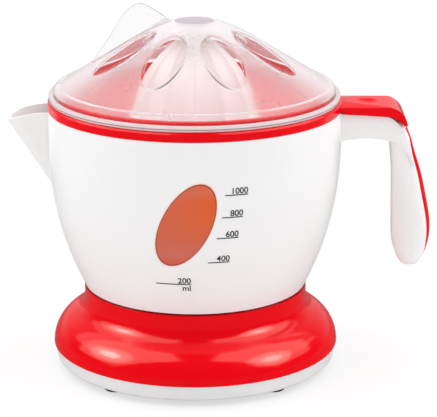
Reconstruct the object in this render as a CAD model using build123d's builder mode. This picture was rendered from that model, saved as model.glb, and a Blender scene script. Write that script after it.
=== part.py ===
from build123d import *
from math import acos, atan2, cos, pi, radians, sin, sqrt, tan
import os

# Electric citrus juicer: motor base, measuring jug, strainer, reamer and clear dust cover.
# Millimetres, +Z up, floor at z = 0. The handle points to +X, the spout to -X, the window to -Y.

# Overall sizes: the rim from the spindle axis, handle and spout outward from the rim
RIM_RADIUS = 82.0
HANDLE_LENGTH = 51.0
SPOUT_LENGTH = 22.6
FOOT_HEIGHT = 3.5
PLATE_HEIGHT = 8.7
HOUSING_HEIGHT = 35.0
JUG_HEIGHT = 101.0
BAND_HEIGHT = 4.8

# Clearances shared by all the pieces
CUT = 1.0
RUN_GAP = 0.05
SEAT_GAP = 0.2
FIT_GAP = 0.4
INSERT_GAP = 0.1

# Motor base shell
BASE_INSET = 0.7
BASE_RADIUS = RIM_RADIUS - BASE_INSET
BULGE_RADIUS = 20.0
FLARE_RADIUS = 10.0
NECK_INSET = 18.0
NECK_RADIUS = BASE_RADIUS - NECK_INSET
BASE_WALL = 2.4
DECK_WALL = 2.6
NECK_EDGE = 0.8
TOWER_RADIUS = 12.0
TOWER_HEIGHT = 22.0
BUSH_WALL = 3.0
BUSH_LENGTH = 16.0
BUSH_LEDGE = 1.6
BOSS_RADIUS = 4.4
BOSS_INSET = 15.3
BOSS_CIRCLE_RADIUS = BASE_RADIUS - BOSS_INSET
BOSS_ANGLES = (60, 180, 300)
POST_RADIUS = 4.0
POST_INSET = 31.3
POST_CIRCLE_RADIUS = BASE_RADIUS - POST_INSET
POST_ANGLES = (60, 150, 300)

# Base plate, feet, cord inlet and screws
PLATE_WALL = 2.5
PLATE_FOOT_INSET = 1.9
PLATE_TOP_INSET = 0.6
PLATE_EDGE = 1.0
LIP_WALL = 1.8
LIP_HEIGHT = 2.5
FOOT_RADIUS = 6.5
FOOT_EDGE = 1.2
FOOT_STEM_RADIUS = 3.0
FOOT_STEM_HEIGHT = 4.5
FOOT_INSET = 13.3
FOOT_CIRCLE_RADIUS = BASE_RADIUS - FOOT_INSET
FOOT_ANGLE = 50.0
VENT_LENGTH = 22.0
VENT_WIDTH = 2.4
VENT_PITCH = 6.0
VENT_COUNT = 6
VENT_INSET = 35.3
VENT_PLACE = BASE_RADIUS - VENT_INSET
GLAND_BORE = 3.2
GLAND_NECK = 4.4
GLAND_FLANGE = 6.0
GLAND_FLANGE_WALL = 1.2
GLAND_RECESS = 0.8
GLAND_TAPER = 12.0
SCREW_RADIUS = 1.5
SCREW_HEAD_RADIUS = 3.0
SCREW_HEAD_HEIGHT = 2.0
SCREW_GRIP = 8.0
SCREW_SLOT_DEPTH = 0.8
SCREW_SLOT_WIDTH = 0.9

# Gear train
GEAR_MODULE = 0.8
PRESSURE_ANGLE = 25.0
ADDENDUM_SHARE = 0.9
DEDENDUM_SHARE = 1.2
BACKLASH = 0.24
PINION_TEETH = 12
WHEEL_TEETH = 54
SMALL_TEETH = 12
OUTPUT_TEETH = 66
GEAR_FACE = 3.6
GEAR_BAY = 11.2
GEAR_PLATE_WALL = 2.2
GEAR_PLATE_INSET = 15.8
GEAR_PLATE_RADIUS = BASE_RADIUS - GEAR_PLATE_INSET
GEAR_FLOAT = 0.5
OUTPUT_LIFT = 0.9
COMPOUND_ANGLE = 206.0
ROTOR_ANGLE = 278.0
COMPOUND_PIN_RADIUS = 2.0
PIN_STAND = 1.0
OUTPUT_HUB_RADIUS = 8.4
OUTPUT_HUB_HEIGHT = 7.4
OUTPUT_SPIGOT_RADIUS = 7.6
WEB_RECESS = 1.2
WEB_RIM = 3.0

# Two-pole synchronous motor
CORE_STACK = 11.0
CORE_DROP = 3.4
CORE_LIMB = 10.0
CORE_GAP = 16.0
CORE_TAIL = 14.0
CORE_LENGTH = 62.0
CORE_YOKE = 12.0
ROTOR_RADIUS = 9.0
ROTOR_AIR_GAP = 1.5
ROTOR_CLEAR = 0.5
ROTOR_SHAFT_RADIUS = 1.5
ROTOR_SHAFT_STAND = 1.0
COIL_WALL = 3.0
COIL_LENGTH = 19.0
COIL_SETBACK = 1.5
COIL_EDGE = 1.4
BRACKET_WALL = 1.6
BRACKET_WIDTH = 12.0
CORE_PAD_RADIUS = 3.5
CORE_PAD_INSET = 8.0

# Spindle, spring and start switch
SPINDLE_RADIUS = 5.0
SPINDLE_HEX = 10.0
SPINDLE_HEAD_HEX = 9.0
SPINDLE_TOP_EDGE = 1.0
HEX_GAP = 0.2
PRESS_TRAVEL = 3.0
COLLAR_RADIUS = 10.5
COLLAR_HEIGHT = 2.5
COLLAR_DROP = 6.0
TAIL_RADIUS = 3.0
TAIL_LENGTH = 7.0
SPRING_RADIUS = 5.4
SPRING_WIRE = 0.55
SPRING_TURNS = 5
SPRING_CUP_WALL = 1.6
SPRING_CUP_HEIGHT = 2.5
SWITCH_START = 15.0
SWITCH_LENGTH = 20.0
SWITCH_WIDTH = 7.0
SWITCH_HEIGHT = 6.2
SWITCH_SHELF = 2.0
SWITCH_BUTTON_RADIUS = 1.2
SWITCH_BUTTON_HEIGHT = 3.2
SWITCH_BUTTON_STAND = 1.5
BUTTON_PLACE = 25.0
LEVER_TIP = 7.4
LEVER_WIDTH = 4.4
LEVER_WALL = 0.6
LEVER_PIVOT = 33.0
LEVER_KNUCKLE = 1.5
LEVER_PIN_RADIUS = 0.7
EAR_WALL = 0.9
EAR_LENGTH = 3.6

# Measuring jug
JUG_FOOT_INSET = 0.3
JUG_FOOT_RADIUS = NECK_RADIUS - JUG_FOOT_INSET
JUG_STRAIGHT = 20.6
JUG_WALL = 2.4
JUG_FLOOR_WALL = 2.6
JUG_LEDGE_WALL = 1.0
JUG_LIP_INSET = 3.0
JUG_LIP_HEIGHT = 2.9
JUG_LIP_WALL = 2.4
JUG_LIP_DEPTH = 7.0
JUG_LIP_SLOPE = 6.0
SPIGOT_WALL = 2.4
COLUMN_RADIUS = 16.6
COLUMN_TAPER = 0.8
COLUMN_WALL = 2.4
COLUMN_DROP = 24.4
COLUMN_FLANGE = 1.2
COLUMN_FLANGE_WALL = 1.6

# Pouring spout
SPOUT_HALF_WIDTH = 13.3
SPOUT_FOOT_HALF_WIDTH = 2.5
SPOUT_FOOT_DROP = 46.0
SPOUT_TIP_DROP = 6.2
SPOUT_EDGE_DROP = 1.0
SPOUT_STRAIGHT_SHARE = 0.25
SPOUT_ROOT = 16.0
SPOUT_WALL = 2.2

# Handle: a flat blade with an arched underside that runs down the back of a hanging grip. Grip
# sections are shares of the handle box: height over its lowest point, then inner face and back
# outward from the rim radius.
HANDLE_HALF_WIDTH = 13.0
HANDLE_DEPTH = 88.8
HANDLE_TOP_DROP = 1.4
HANDLE_TOP_SLOPE = 1.8
HANDLE_ROOT = 8.0
GRIP_SHARES = (
    (0.97, 0.42, 0.570),
    (0.935, 0.47, 0.645),
    (0.89, 0.505, 0.715),
    (0.78, 0.540, 0.785),
    (0.62, 0.566, 0.873),
    (0.44, 0.572, 0.948),
    (0.255, 0.577, 1.0),
    (0.11, 0.600, 0.965),
    (0.03, 0.660, 0.890),
    (0.0, 0.720, 0.820),
)
GRIP_ROUND_SHARE = 0.44
GRIP_STEP = 0.8
BRACKET_END_SHARE = 0.50
BLADE_INSET = 1.4
BLADE_END_INSET = 4.0
BLADE_END_SHARE = 0.40
ARCH_SHARES = (
    (-0.10, 0.805),
    (0.25, 0.845),
    (0.470, 0.832),
    (0.640, 0.798),
    (0.775, 0.683),
    (0.866, 0.545),
)
STRIP_HALF_WIDTH = 7.0
STRIP_WALL = 3.0
STRIP_PROUD = 4.0
STRIP_SHARES = (0.915, 0.02)

# Level window: an oval through the jug wall, leaning to the right
WINDOW_HALF_LENGTH = 25.6
WINDOW_HALF_WIDTH = 13.3
WINDOW_LEAN = 26.0
WINDOW_HEIGHT = 54.9
WINDOW_SHIFT = -3.9

# Strainer with its rim and handle tongue
SKIRT_WALL = 2.6
RING_EDGE = 0.9
BEAD_INSET = 6.0
BEAD_RADIUS = RIM_RADIUS - BEAD_INSET
BEAD_WALL = 2.4
BEAD_HEIGHT = 4.6
BEAD_EDGE = 0.8
BOWL_WALL = 2.2
BOWL_FLOOR_INSET = 26.0
BOWL_FLOOR_RADIUS = RIM_RADIUS - BOWL_FLOOR_INSET
BOWL_DEPTH = 15.4
BOWL_FALL = 3.0
BOWL_HUB_RADIUS = 12.8
BOWL_HUB_WALL = 2.4
BOWL_HUB_HEIGHT = 12.0
SLOT_COUNT = 24
SLOT_WIDTH = 2.0
SLOT_START = 19.0
SLOT_MARGIN = 4.0
SLOT_END = BOWL_FLOOR_RADIUS - SLOT_MARGIN
TONGUE_HALF_WIDTH = 15.0
TONGUE_WALL = 3.8
TONGUE_CROWN = 1.5
TONGUE_LENGTH = 36.2
TONGUE_BEND = 11.2
TONGUE_REACH = RIM_RADIUS + TONGUE_LENGTH
TONGUE_STRAIGHT = TONGUE_REACH - TONGUE_BEND
TONGUE_TIP_DROP = 10.5
DIMPLE_SETBACK = 20.9
DIMPLE_PLACE = TONGUE_REACH - DIMPLE_SETBACK
DIMPLE_RADIUS = 5.8
DIMPLE_DEPTH = 1.3

# Reamer
REAMER_RADIUS = 36.0
REAMER_RIM_HEIGHT = 3.0
REAMER_HEIGHT = 44.0
REAMER_LIFT = 4.0
REAMER_RIDGES = 12
REAMER_FLUTE_SHARE = 0.13
REAMER_SHARES = ((0.0, 0.97), (0.25, 0.90), (0.5, 0.76), (0.75, 0.53), (0.92, 0.28), (1.0, 0.08))
REAMER_WALL = 3.0
REAMER_HUB_RADIUS = 8.4
REAMER_CAVITY_SHARES = ((0.0, 0.80), (0.25, 0.70), (0.5, 0.56), (0.72, 0.34))
REAMER_SEAT_SHARE = 0.54

# Dust cover
COVER_FLANGE_INSET = 0.6
COVER_FLANGE_HEIGHT = 3.2
COVER_FLANGE_EDGE = 1.3
COVER_WALL = 1.8
COVER_FOOT_INSET = 3.4
COVER_FOOT_RADIUS = RIM_RADIUS - COVER_FOOT_INSET
COVER_FOOT_HEIGHT = 1.6
COVER_CONE_INSET = 7.6
COVER_CONE_RADIUS = RIM_RADIUS - COVER_CONE_INSET
COVER_CONE_RISE = 8.4
COVER_CROWN_SHARE = 0.4634
COVER_CROWN_RADIUS = COVER_CROWN_SHARE * RIM_RADIUS
COVER_CROWN_RISE = 31.4
COVER_TOP_SHARE = 0.316
COVER_TOP_RADIUS = COVER_TOP_SHARE * COVER_CROWN_RADIUS
COVER_TOP_RISE = 43.8
COVER_DIMPLE = 1.0
DENT_COUNT = 8
DENT_FIRST_ANGLE = 22.5
DENT_HALF_LENGTH = 22.0
DENT_HALF_WIDTH = 11.0
DENT_DEPTH = 3.0
DENT_PLACE_SHARE = 0.5
DENT_PLACE = DENT_PLACE_SHARE * RIM_RADIUS
FIN_WALL = 2.2
FIN_INSET = 24.5
FIN_START = RIM_RADIUS - FIN_INSET
FIN_LENGTH = 47.0
FIN_HEIGHT = 34.1
FIN_SHARES = ((0.0, 0.0), (0.251, 0.513), (0.415, 0.865), (0.577, 1.0), (0.736, 0.912), (1.0, 0.683))
FIN_END_SHARES = ((0.55, 1), (1, -0.62))

# Reaches and heights worked out from the sizes above
HANDLE_REACH = RIM_RADIUS + HANDLE_LENGTH
SPOUT_REACH = RIM_RADIUS + SPOUT_LENGTH
SPINDLE_X = (SPOUT_REACH - HANDLE_REACH) / 2
PARTING = FOOT_HEIGHT + PLATE_HEIGHT
PLATE_FLOOR = FOOT_HEIGHT + PLATE_WALL
NECK_TOP = PARTING + HOUSING_HEIGHT
JUG_BASE = NECK_TOP + FIT_GAP
JUG_FLOOR = JUG_BASE + JUG_FLOOR_WALL
JUG_LEDGE = JUG_BASE + JUG_LEDGE_WALL
BAND_BOTTOM = JUG_BASE + JUG_HEIGHT
BAND_TOP = BAND_BOTTOM + BAND_HEIGHT
JUG_SHOULDER = BAND_BOTTOM - JUG_STRAIGHT
JUG_LIP_TOP = BAND_BOTTOM + JUG_LIP_HEIGHT
COLUMN_TOP = BAND_BOTTOM - COLUMN_DROP
BOWL_FLOOR = BAND_TOP - BOWL_DEPTH - BOWL_FALL
COVER_BASE = BAND_TOP + SEAT_GAP

# The base bulge and the neck flare are two arcs that touch on the line between their centres
ARC_SUM = BULGE_RADIUS + FLARE_RADIUS
ARC_RUN = ARC_SUM - (BASE_RADIUS - NECK_RADIUS)
ARC_RISE = sqrt(ARC_SUM**2 - ARC_RUN**2)
ARC_ANGLE = atan2(ARC_RISE, ARC_RUN)
DECK_UNDER = PARTING + ARC_RISE
DECK_TOP = DECK_UNDER + DECK_WALL
TOWER_TOP = DECK_TOP + TOWER_HEIGHT
BUSH_RADIUS = SPINDLE_RADIUS + RUN_GAP + BUSH_WALL
BUSH_FOOT = TOWER_TOP - BUSH_LENGTH

# The jug wall below its shoulder is one arc, upright at the shoulder
JUG_FALL = JUG_SHOULDER - JUG_BASE
JUG_NARROWING = RIM_RADIUS - JUG_FOOT_RADIUS
JUG_BEND = (JUG_FALL**2 + JUG_NARROWING**2) / (2 * JUG_NARROWING)

# Gear centres, measured from the spindle
GEAR_PLATE_TOP = DECK_UNDER - GEAR_BAY
GEAR_PLATE_UNDER = GEAR_PLATE_TOP - GEAR_PLATE_WALL
OUTPUT_DISTANCE = GEAR_MODULE * (SMALL_TEETH + OUTPUT_TEETH) / 2
MOTOR_DISTANCE = GEAR_MODULE * (PINION_TEETH + WHEEL_TEETH) / 2
COMPOUND_X = OUTPUT_DISTANCE * cos(radians(COMPOUND_ANGLE))
COMPOUND_Y = OUTPUT_DISTANCE * sin(radians(COMPOUND_ANGLE))
ROTOR_X = COMPOUND_X + MOTOR_DISTANCE * cos(radians(ROTOR_ANGLE))
ROTOR_Y = COMPOUND_Y + MOTOR_DISTANCE * sin(radians(ROTOR_ANGLE))
OUTPUT_GEAR_FOOT = GEAR_PLATE_TOP + OUTPUT_LIFT
WHEEL_FOOT = OUTPUT_GEAR_FOOT + GEAR_FACE + GEAR_FLOAT
WHEEL_TOP = WHEEL_FOOT + GEAR_FACE
CORE_TOP = GEAR_PLATE_UNDER - CORE_DROP
CORE_FOOT = CORE_TOP - CORE_STACK
COLLAR_TOP = GEAR_PLATE_UNDER - COLLAR_DROP
COLLAR_FOOT = COLLAR_TOP - COLLAR_HEIGHT
LEVER_TOP = COLLAR_FOOT - SEAT_GAP
SWITCH_FOOT = PLATE_FLOOR + SWITCH_SHELF
SWITCH_TOP = SWITCH_FOOT + SWITCH_HEIGHT

# Reamer heights
REAMER_FOOT = BOWL_FLOOR + BOWL_FALL + REAMER_LIFT
REAMER_BODY = REAMER_FOOT + REAMER_RIM_HEIGHT
REAMER_SEAT = REAMER_BODY + REAMER_SEAT_SHARE * REAMER_HEIGHT
SPINDLE_TOP = REAMER_SEAT - SEAT_GAP
SPINDLE_HEAD = REAMER_FOOT - PRESS_TRAVEL

SPINDLE = Axis((SPINDLE_X, 0, 0), (0, 0, 1))
UPRIGHT = Plane((SPINDLE_X, 0, 0), x_dir=(1, 0, 0), z_dir=(0, -1, 0))
MIDDLE_UP = (Align.CENTER, Align.CENTER, Align.MIN)


def level(height, x=0, y=0, turn=0):
    """Horizontal plane at a height, placed from the spindle and turned in degrees."""
    aim = (cos(radians(turn)), sin(radians(turn)), 0)
    return Plane((SPINDLE_X + x, y, height), x_dir=aim)


def inlet(reach):
    """Upright plane at the back of the base, where the cord enters."""
    return Plane((SPINDLE_X, reach, PARTING), z_dir=(0, 1, 0))


def polar(radius, angle):
    """Point on a circle round the spindle, in that plane's own coordinates."""
    return (radius * cos(radians(angle)), radius * sin(radians(angle)))


def jug_radius(height, inset=0):
    """Radius of the jug wall at a height, inset from its outside."""
    fall = max(JUG_SHOULDER - height, 0)
    bend = JUG_BEND - inset
    return RIM_RADIUS - JUG_BEND + sqrt(bend**2 - fall**2)


def gear_outline(teeth, steps):
    """Corners of a spur gear with involute flanks and a tooth on its own X axis."""
    pitch = GEAR_MODULE * teeth / 2
    base = pitch * cos(radians(PRESSURE_ANGLE))
    tip = pitch + ADDENDUM_SHARE * GEAR_MODULE
    root = pitch - DEDENDUM_SHARE * GEAR_MODULE
    start = max(root, base)

    def spread(radius):
        slope = acos(min(base / radius, 1))
        return tan(slope) - slope

    half_tooth = pi / (2 * teeth) - BACKLASH / (2 * pitch) + spread(pitch)
    flank = [(root, half_tooth - spread(start))]
    for step in range(steps + 1):
        radius = start + (tip - start) * step / steps
        if radius > root:
            flank.append((radius, half_tooth - spread(radius)))
    corners = []
    for tooth in range(teeth):
        middle = 2 * pi * tooth / teeth
        rising = [(radius, middle - angle) for radius, angle in flank]
        falling = [(radius, middle + angle) for radius, angle in reversed(flank)]
        corners += [(radius * cos(angle), radius * sin(angle)) for radius, angle in rising + falling]
    return corners


def handle_point(shares):
    """Point of the handle's side outline from its shares of the handle box."""
    across, up = shares
    foot = BAND_BOTTOM - HANDLE_TOP_DROP - HANDLE_DEPTH
    return (RIM_RADIUS + across * (HANDLE_REACH - RIM_RADIUS), foot + up * HANDLE_DEPTH)


os.makedirs("parts", exist_ok=True)

# Base housing: red shell with neck, deck, spindle tower, screw bosses and gear plate posts
with BuildPart() as housing_cavity:
    with BuildSketch(UPRIGHT):
        with BuildLine():
            inner_foot = (BASE_RADIUS - BASE_WALL, PARTING)
            inner_touch = (
                BASE_RADIUS - BULGE_RADIUS + (BULGE_RADIUS - BASE_WALL) * cos(ARC_ANGLE),
                PARTING + (BULGE_RADIUS - BASE_WALL) * sin(ARC_ANGLE),
            )
            inner_neck = (NECK_RADIUS - BASE_WALL, DECK_UNDER)
            inner_bulge = TangentArc(inner_foot, inner_touch, tangent=(0, 1))
            TangentArc(inner_touch, inner_neck, tangent=inner_bulge % 1)
            Polyline(inner_neck, (0, DECK_UNDER), (0, PARTING), inner_foot)
        make_face()
    revolve(axis=SPINDLE)
    with Locations(level(PARTING)):
        with Locations(*[polar(BOSS_CIRCLE_RADIUS, angle) for angle in BOSS_ANGLES]):
            Cylinder(BOSS_RADIUS, HOUSING_HEIGHT, align=MIDDLE_UP, mode=Mode.SUBTRACT)
    with Locations(level(GEAR_PLATE_TOP)):
        with Locations(*[polar(POST_CIRCLE_RADIUS, angle) for angle in POST_ANGLES]):
            Cylinder(POST_RADIUS, HOUSING_HEIGHT, align=MIDDLE_UP, mode=Mode.SUBTRACT)

with BuildPart() as base_housing:
    with BuildSketch(UPRIGHT):
        with BuildLine():
            outer_foot = (BASE_RADIUS, PARTING)
            outer_touch = (
                BASE_RADIUS - BULGE_RADIUS + BULGE_RADIUS * cos(ARC_ANGLE),
                PARTING + BULGE_RADIUS * sin(ARC_ANGLE),
            )
            outer_neck = (NECK_RADIUS, DECK_UNDER)
            outer_bulge = TangentArc(outer_foot, outer_touch, tangent=(0, 1))
            TangentArc(outer_touch, outer_neck, tangent=outer_bulge % 1)
            Polyline(
                outer_neck,
                (NECK_RADIUS, NECK_TOP - NECK_EDGE),
                (NECK_RADIUS - NECK_EDGE, NECK_TOP),
                (NECK_RADIUS - BASE_WALL, NECK_TOP),
                (NECK_RADIUS - BASE_WALL, DECK_TOP),
                (TOWER_RADIUS, DECK_TOP),
                (TOWER_RADIUS, TOWER_TOP),
                (BUSH_RADIUS, TOWER_TOP),
                (BUSH_RADIUS, BUSH_FOOT),
                (BUSH_RADIUS - BUSH_LEDGE, BUSH_FOOT),
                (BUSH_RADIUS - BUSH_LEDGE, PARTING),
                outer_foot,
            )
        make_face()
    revolve(axis=SPINDLE)
    add(housing_cavity.part, mode=Mode.SUBTRACT)
    with Locations(level(PARTING)):
        with Locations(*[polar(BOSS_CIRCLE_RADIUS, angle) for angle in BOSS_ANGLES]):
            Cylinder(SCREW_RADIUS, SCREW_GRIP + CUT, align=MIDDLE_UP, mode=Mode.SUBTRACT)
    with Locations(level(GEAR_PLATE_TOP)):
        with Locations(*[polar(POST_CIRCLE_RADIUS, angle) for angle in POST_ANGLES]):
            Cylinder(SCREW_RADIUS, SCREW_GRIP + CUT, align=MIDDLE_UP, mode=Mode.SUBTRACT)
    with BuildSketch(inlet(BASE_RADIUS + CUT)):
        Circle(GLAND_NECK)
    extrude(amount=-BASE_WALL - GLAND_FLANGE, mode=Mode.SUBTRACT)
    with BuildSketch(inlet(BASE_RADIUS - GLAND_RECESS)):
        Circle(GLAND_FLANGE + SEAT_GAP)
    extrude(amount=GLAND_RECESS + CUT, mode=Mode.SUBTRACT)
base_housing.part.label = "base_housing"
export_step(base_housing.part, "parts/base_housing.step")

FOOT_TURNS = (FOOT_ANGLE, -FOOT_ANGLE, 180 + FOOT_ANGLE, 180 - FOOT_ANGLE)

# Base plate: white pan with its lip, screw bosses, spring cup, switch shelf and vents
with BuildPart() as base_plate:
    with BuildSketch(UPRIGHT):
        lip_outer = BASE_RADIUS - BASE_WALL - FIT_GAP
        Polygon(
            (0, FOOT_HEIGHT),
            (BASE_RADIUS - PLATE_FOOT_INSET - PLATE_EDGE, FOOT_HEIGHT),
            (BASE_RADIUS - PLATE_FOOT_INSET, FOOT_HEIGHT + PLATE_EDGE),
            (BASE_RADIUS - PLATE_TOP_INSET, PARTING),
            (lip_outer, PARTING),
            (lip_outer, PARTING + LIP_HEIGHT),
            (lip_outer - LIP_WALL, PARTING + LIP_HEIGHT),
            (lip_outer - LIP_WALL, PLATE_FLOOR),
            (0, PLATE_FLOOR),
            align=None,
        )
    revolve(axis=SPINDLE)
    with Locations(level(PLATE_FLOOR)):
        with Locations(*[polar(BOSS_CIRCLE_RADIUS, angle) for angle in BOSS_ANGLES]):
            Cylinder(BOSS_RADIUS, PARTING - PLATE_FLOOR, align=MIDDLE_UP)
        spring_room = SPRING_RADIUS + SPRING_WIRE + FIT_GAP
        Cylinder(spring_room + SPRING_CUP_WALL, SPRING_CUP_HEIGHT, align=MIDDLE_UP)
        Cylinder(spring_room, SPRING_CUP_HEIGHT, align=MIDDLE_UP, mode=Mode.SUBTRACT)
        with Locations((SWITCH_START + SWITCH_LENGTH / 2, 0)):
            Box(SWITCH_LENGTH, SWITCH_WIDTH, SWITCH_SHELF, align=MIDDLE_UP)
    with Locations(level(FOOT_HEIGHT)):
        with Locations(*[polar(BOSS_CIRCLE_RADIUS, angle) for angle in BOSS_ANGLES]):
            Cylinder(SCREW_RADIUS + FIT_GAP, PLATE_HEIGHT, align=MIDDLE_UP, mode=Mode.SUBTRACT)
            Cylinder(
                SCREW_HEAD_RADIUS + FIT_GAP,
                SCREW_HEAD_HEIGHT + FIT_GAP,
                align=MIDDLE_UP,
                mode=Mode.SUBTRACT,
            )
        with Locations(*[polar(FOOT_CIRCLE_RADIUS, turn) for turn in FOOT_TURNS]):
            Cylinder(FOOT_STEM_RADIUS + RUN_GAP, PLATE_WALL, align=MIDDLE_UP, mode=Mode.SUBTRACT)
    with BuildSketch(level(FOOT_HEIGHT, 0, VENT_PLACE)):
        with GridLocations(VENT_PITCH, 0, VENT_COUNT, 1):
            SlotOverall(VENT_LENGTH, VENT_WIDTH, rotation=90)
    extrude(amount=PLATE_WALL, mode=Mode.SUBTRACT)
    with BuildSketch(inlet(BASE_RADIUS + CUT)):
        Circle(GLAND_NECK)
    extrude(amount=-BASE_WALL - GLAND_FLANGE, mode=Mode.SUBTRACT)
    with BuildSketch(inlet(BASE_RADIUS - GLAND_RECESS)):
        Circle(GLAND_FLANGE + SEAT_GAP)
    extrude(amount=GLAND_RECESS + CUT, mode=Mode.SUBTRACT)
base_plate.part.label = "base_plate"
export_step(base_plate.part, "parts/base_plate.step")

# Rubber feet: a rounded pad with a stem plugged into the base plate
FOOT_NAMES = ("foot_rear_right", "foot_front_right", "foot_front_left", "foot_rear_left")
for foot_name, foot_turn in zip(FOOT_NAMES, FOOT_TURNS):
    with BuildPart() as foot:
        with Locations(level(0, *polar(FOOT_CIRCLE_RADIUS, foot_turn))):
            Cylinder(FOOT_RADIUS, FOOT_HEIGHT, align=MIDDLE_UP)
            fillet(foot.edges().sort_by(Axis.Z)[:1], FOOT_EDGE)
            Cylinder(FOOT_STEM_RADIUS, FOOT_HEIGHT + FOOT_STEM_HEIGHT, align=MIDDLE_UP)
    foot.part.label = foot_name
    export_step(foot.part, f"parts/{foot_name}.step")

# Cord gland: rubber ring held in the parting line at the back of the base
with BuildPart() as cord_gland:
    gland_seat = BASE_RADIUS - GLAND_RECESS + SEAT_GAP
    with BuildSketch(inlet(gland_seat)):
        Circle(GLAND_NECK - RUN_GAP)
    extrude(amount=-BASE_WALL - LIP_WALL)
    with BuildSketch(inlet(gland_seat)):
        Circle(GLAND_FLANGE)
    extrude(amount=GLAND_FLANGE_WALL, taper=GLAND_TAPER)
    with BuildSketch(inlet(gland_seat + GLAND_FLANGE_WALL)):
        Circle(GLAND_BORE)
    extrude(amount=-GLAND_FLANGE_WALL - BASE_WALL - LIP_WALL, mode=Mode.SUBTRACT)
cord_gland.part.label = "cord_gland"
export_step(cord_gland.part, "parts/cord_gland.step")

# Base screws: driven from below through the plate into the housing bosses
with BuildPart() as base_screws:
    with Locations(level(FOOT_HEIGHT + SCREW_HEAD_HEIGHT + FIT_GAP)):
        with Locations(*[polar(BOSS_CIRCLE_RADIUS, angle) for angle in BOSS_ANGLES]):
            Cylinder(
                SCREW_HEAD_RADIUS, SCREW_HEAD_HEIGHT, align=(Align.CENTER, Align.CENTER, Align.MAX)
            )
            Cylinder(SCREW_RADIUS - RUN_GAP, PLATE_HEIGHT + SCREW_GRIP / 2, align=MIDDLE_UP)
    with Locations(level(FOOT_HEIGHT + FIT_GAP)):
        with Locations(*[polar(BOSS_CIRCLE_RADIUS, angle) for angle in BOSS_ANGLES]):
            Box(
                SCREW_HEAD_RADIUS + SCREW_RADIUS,
                SCREW_SLOT_WIDTH,
                SCREW_SLOT_DEPTH,
                align=MIDDLE_UP,
                mode=Mode.SUBTRACT,
            )
base_screws.part.label = "base_screws"
export_step(base_screws.part, "parts/base_screws.step")

# Spindle bush: plain bearing on its ledge in the tower
with BuildPart() as spindle_bush:
    with Locations(level(BUSH_FOOT)):
        Cylinder(BUSH_RADIUS - RUN_GAP, BUSH_LENGTH, align=MIDDLE_UP)
        Cylinder(SPINDLE_RADIUS + RUN_GAP, BUSH_LENGTH, align=MIDDLE_UP, mode=Mode.SUBTRACT)
spindle_bush.part.label = "spindle_bush"
export_step(spindle_bush.part, "parts/spindle_bush.step")

# Gear plate: deck that hangs from the housing posts and carries motor and gears
CORE_HALF_WIDTH = CORE_GAP / 2 + CORE_LIMB
CORE_CORNERS = [
    (ROTOR_X - CORE_TAIL + CORE_PAD_INSET, ROTOR_Y - (CORE_GAP + CORE_LIMB) / 2),
    (ROTOR_X - CORE_TAIL + CORE_PAD_INSET, ROTOR_Y + (CORE_GAP + CORE_LIMB) / 2),
    (ROTOR_X - CORE_TAIL + CORE_LENGTH - CORE_YOKE / 2, ROTOR_Y),
]
with BuildPart() as gear_plate:
    with Locations(level(GEAR_PLATE_UNDER)):
        Cylinder(GEAR_PLATE_RADIUS, GEAR_PLATE_WALL, align=MIDDLE_UP)
        with Locations(*[polar(BOSS_CIRCLE_RADIUS, angle) for angle in BOSS_ANGLES]):
            Cylinder(BOSS_RADIUS + FIT_GAP, GEAR_PLATE_WALL, align=MIDDLE_UP, mode=Mode.SUBTRACT)
        Cylinder(OUTPUT_SPIGOT_RADIUS + RUN_GAP, GEAR_PLATE_WALL, align=MIDDLE_UP, mode=Mode.SUBTRACT)
        with Locations(*[polar(POST_CIRCLE_RADIUS, angle) for angle in POST_ANGLES]):
            Cylinder(SCREW_RADIUS + RUN_GAP, GEAR_PLATE_WALL, align=MIDDLE_UP, mode=Mode.SUBTRACT)
        with Locations((COMPOUND_X, COMPOUND_Y)):
            Cylinder(COMPOUND_PIN_RADIUS + RUN_GAP, GEAR_PLATE_WALL, align=MIDDLE_UP, mode=Mode.SUBTRACT)
        with Locations((ROTOR_X, ROTOR_Y)):
            Cylinder(ROTOR_SHAFT_RADIUS + RUN_GAP, GEAR_PLATE_WALL, align=MIDDLE_UP, mode=Mode.SUBTRACT)
    with Locations(level(CORE_TOP)):
        with Locations(*CORE_CORNERS):
            Cylinder(CORE_PAD_RADIUS, CORE_DROP, align=MIDDLE_UP)
gear_plate.part.label = "gear_plate"
export_step(gear_plate.part, "parts/gear_plate.step")

with BuildPart() as plate_screws:
    with Locations(level(GEAR_PLATE_UNDER)):
        with Locations(*[polar(POST_CIRCLE_RADIUS, angle) for angle in POST_ANGLES]):
            Cylinder(
                SCREW_HEAD_RADIUS, SCREW_HEAD_HEIGHT, align=(Align.CENTER, Align.CENTER, Align.MAX)
            )
            Cylinder(SCREW_RADIUS - RUN_GAP, GEAR_PLATE_WALL + SCREW_GRIP, align=MIDDLE_UP)
plate_screws.part.label = "plate_screws"
export_step(plate_screws.part, "parts/plate_screws.step")

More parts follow.
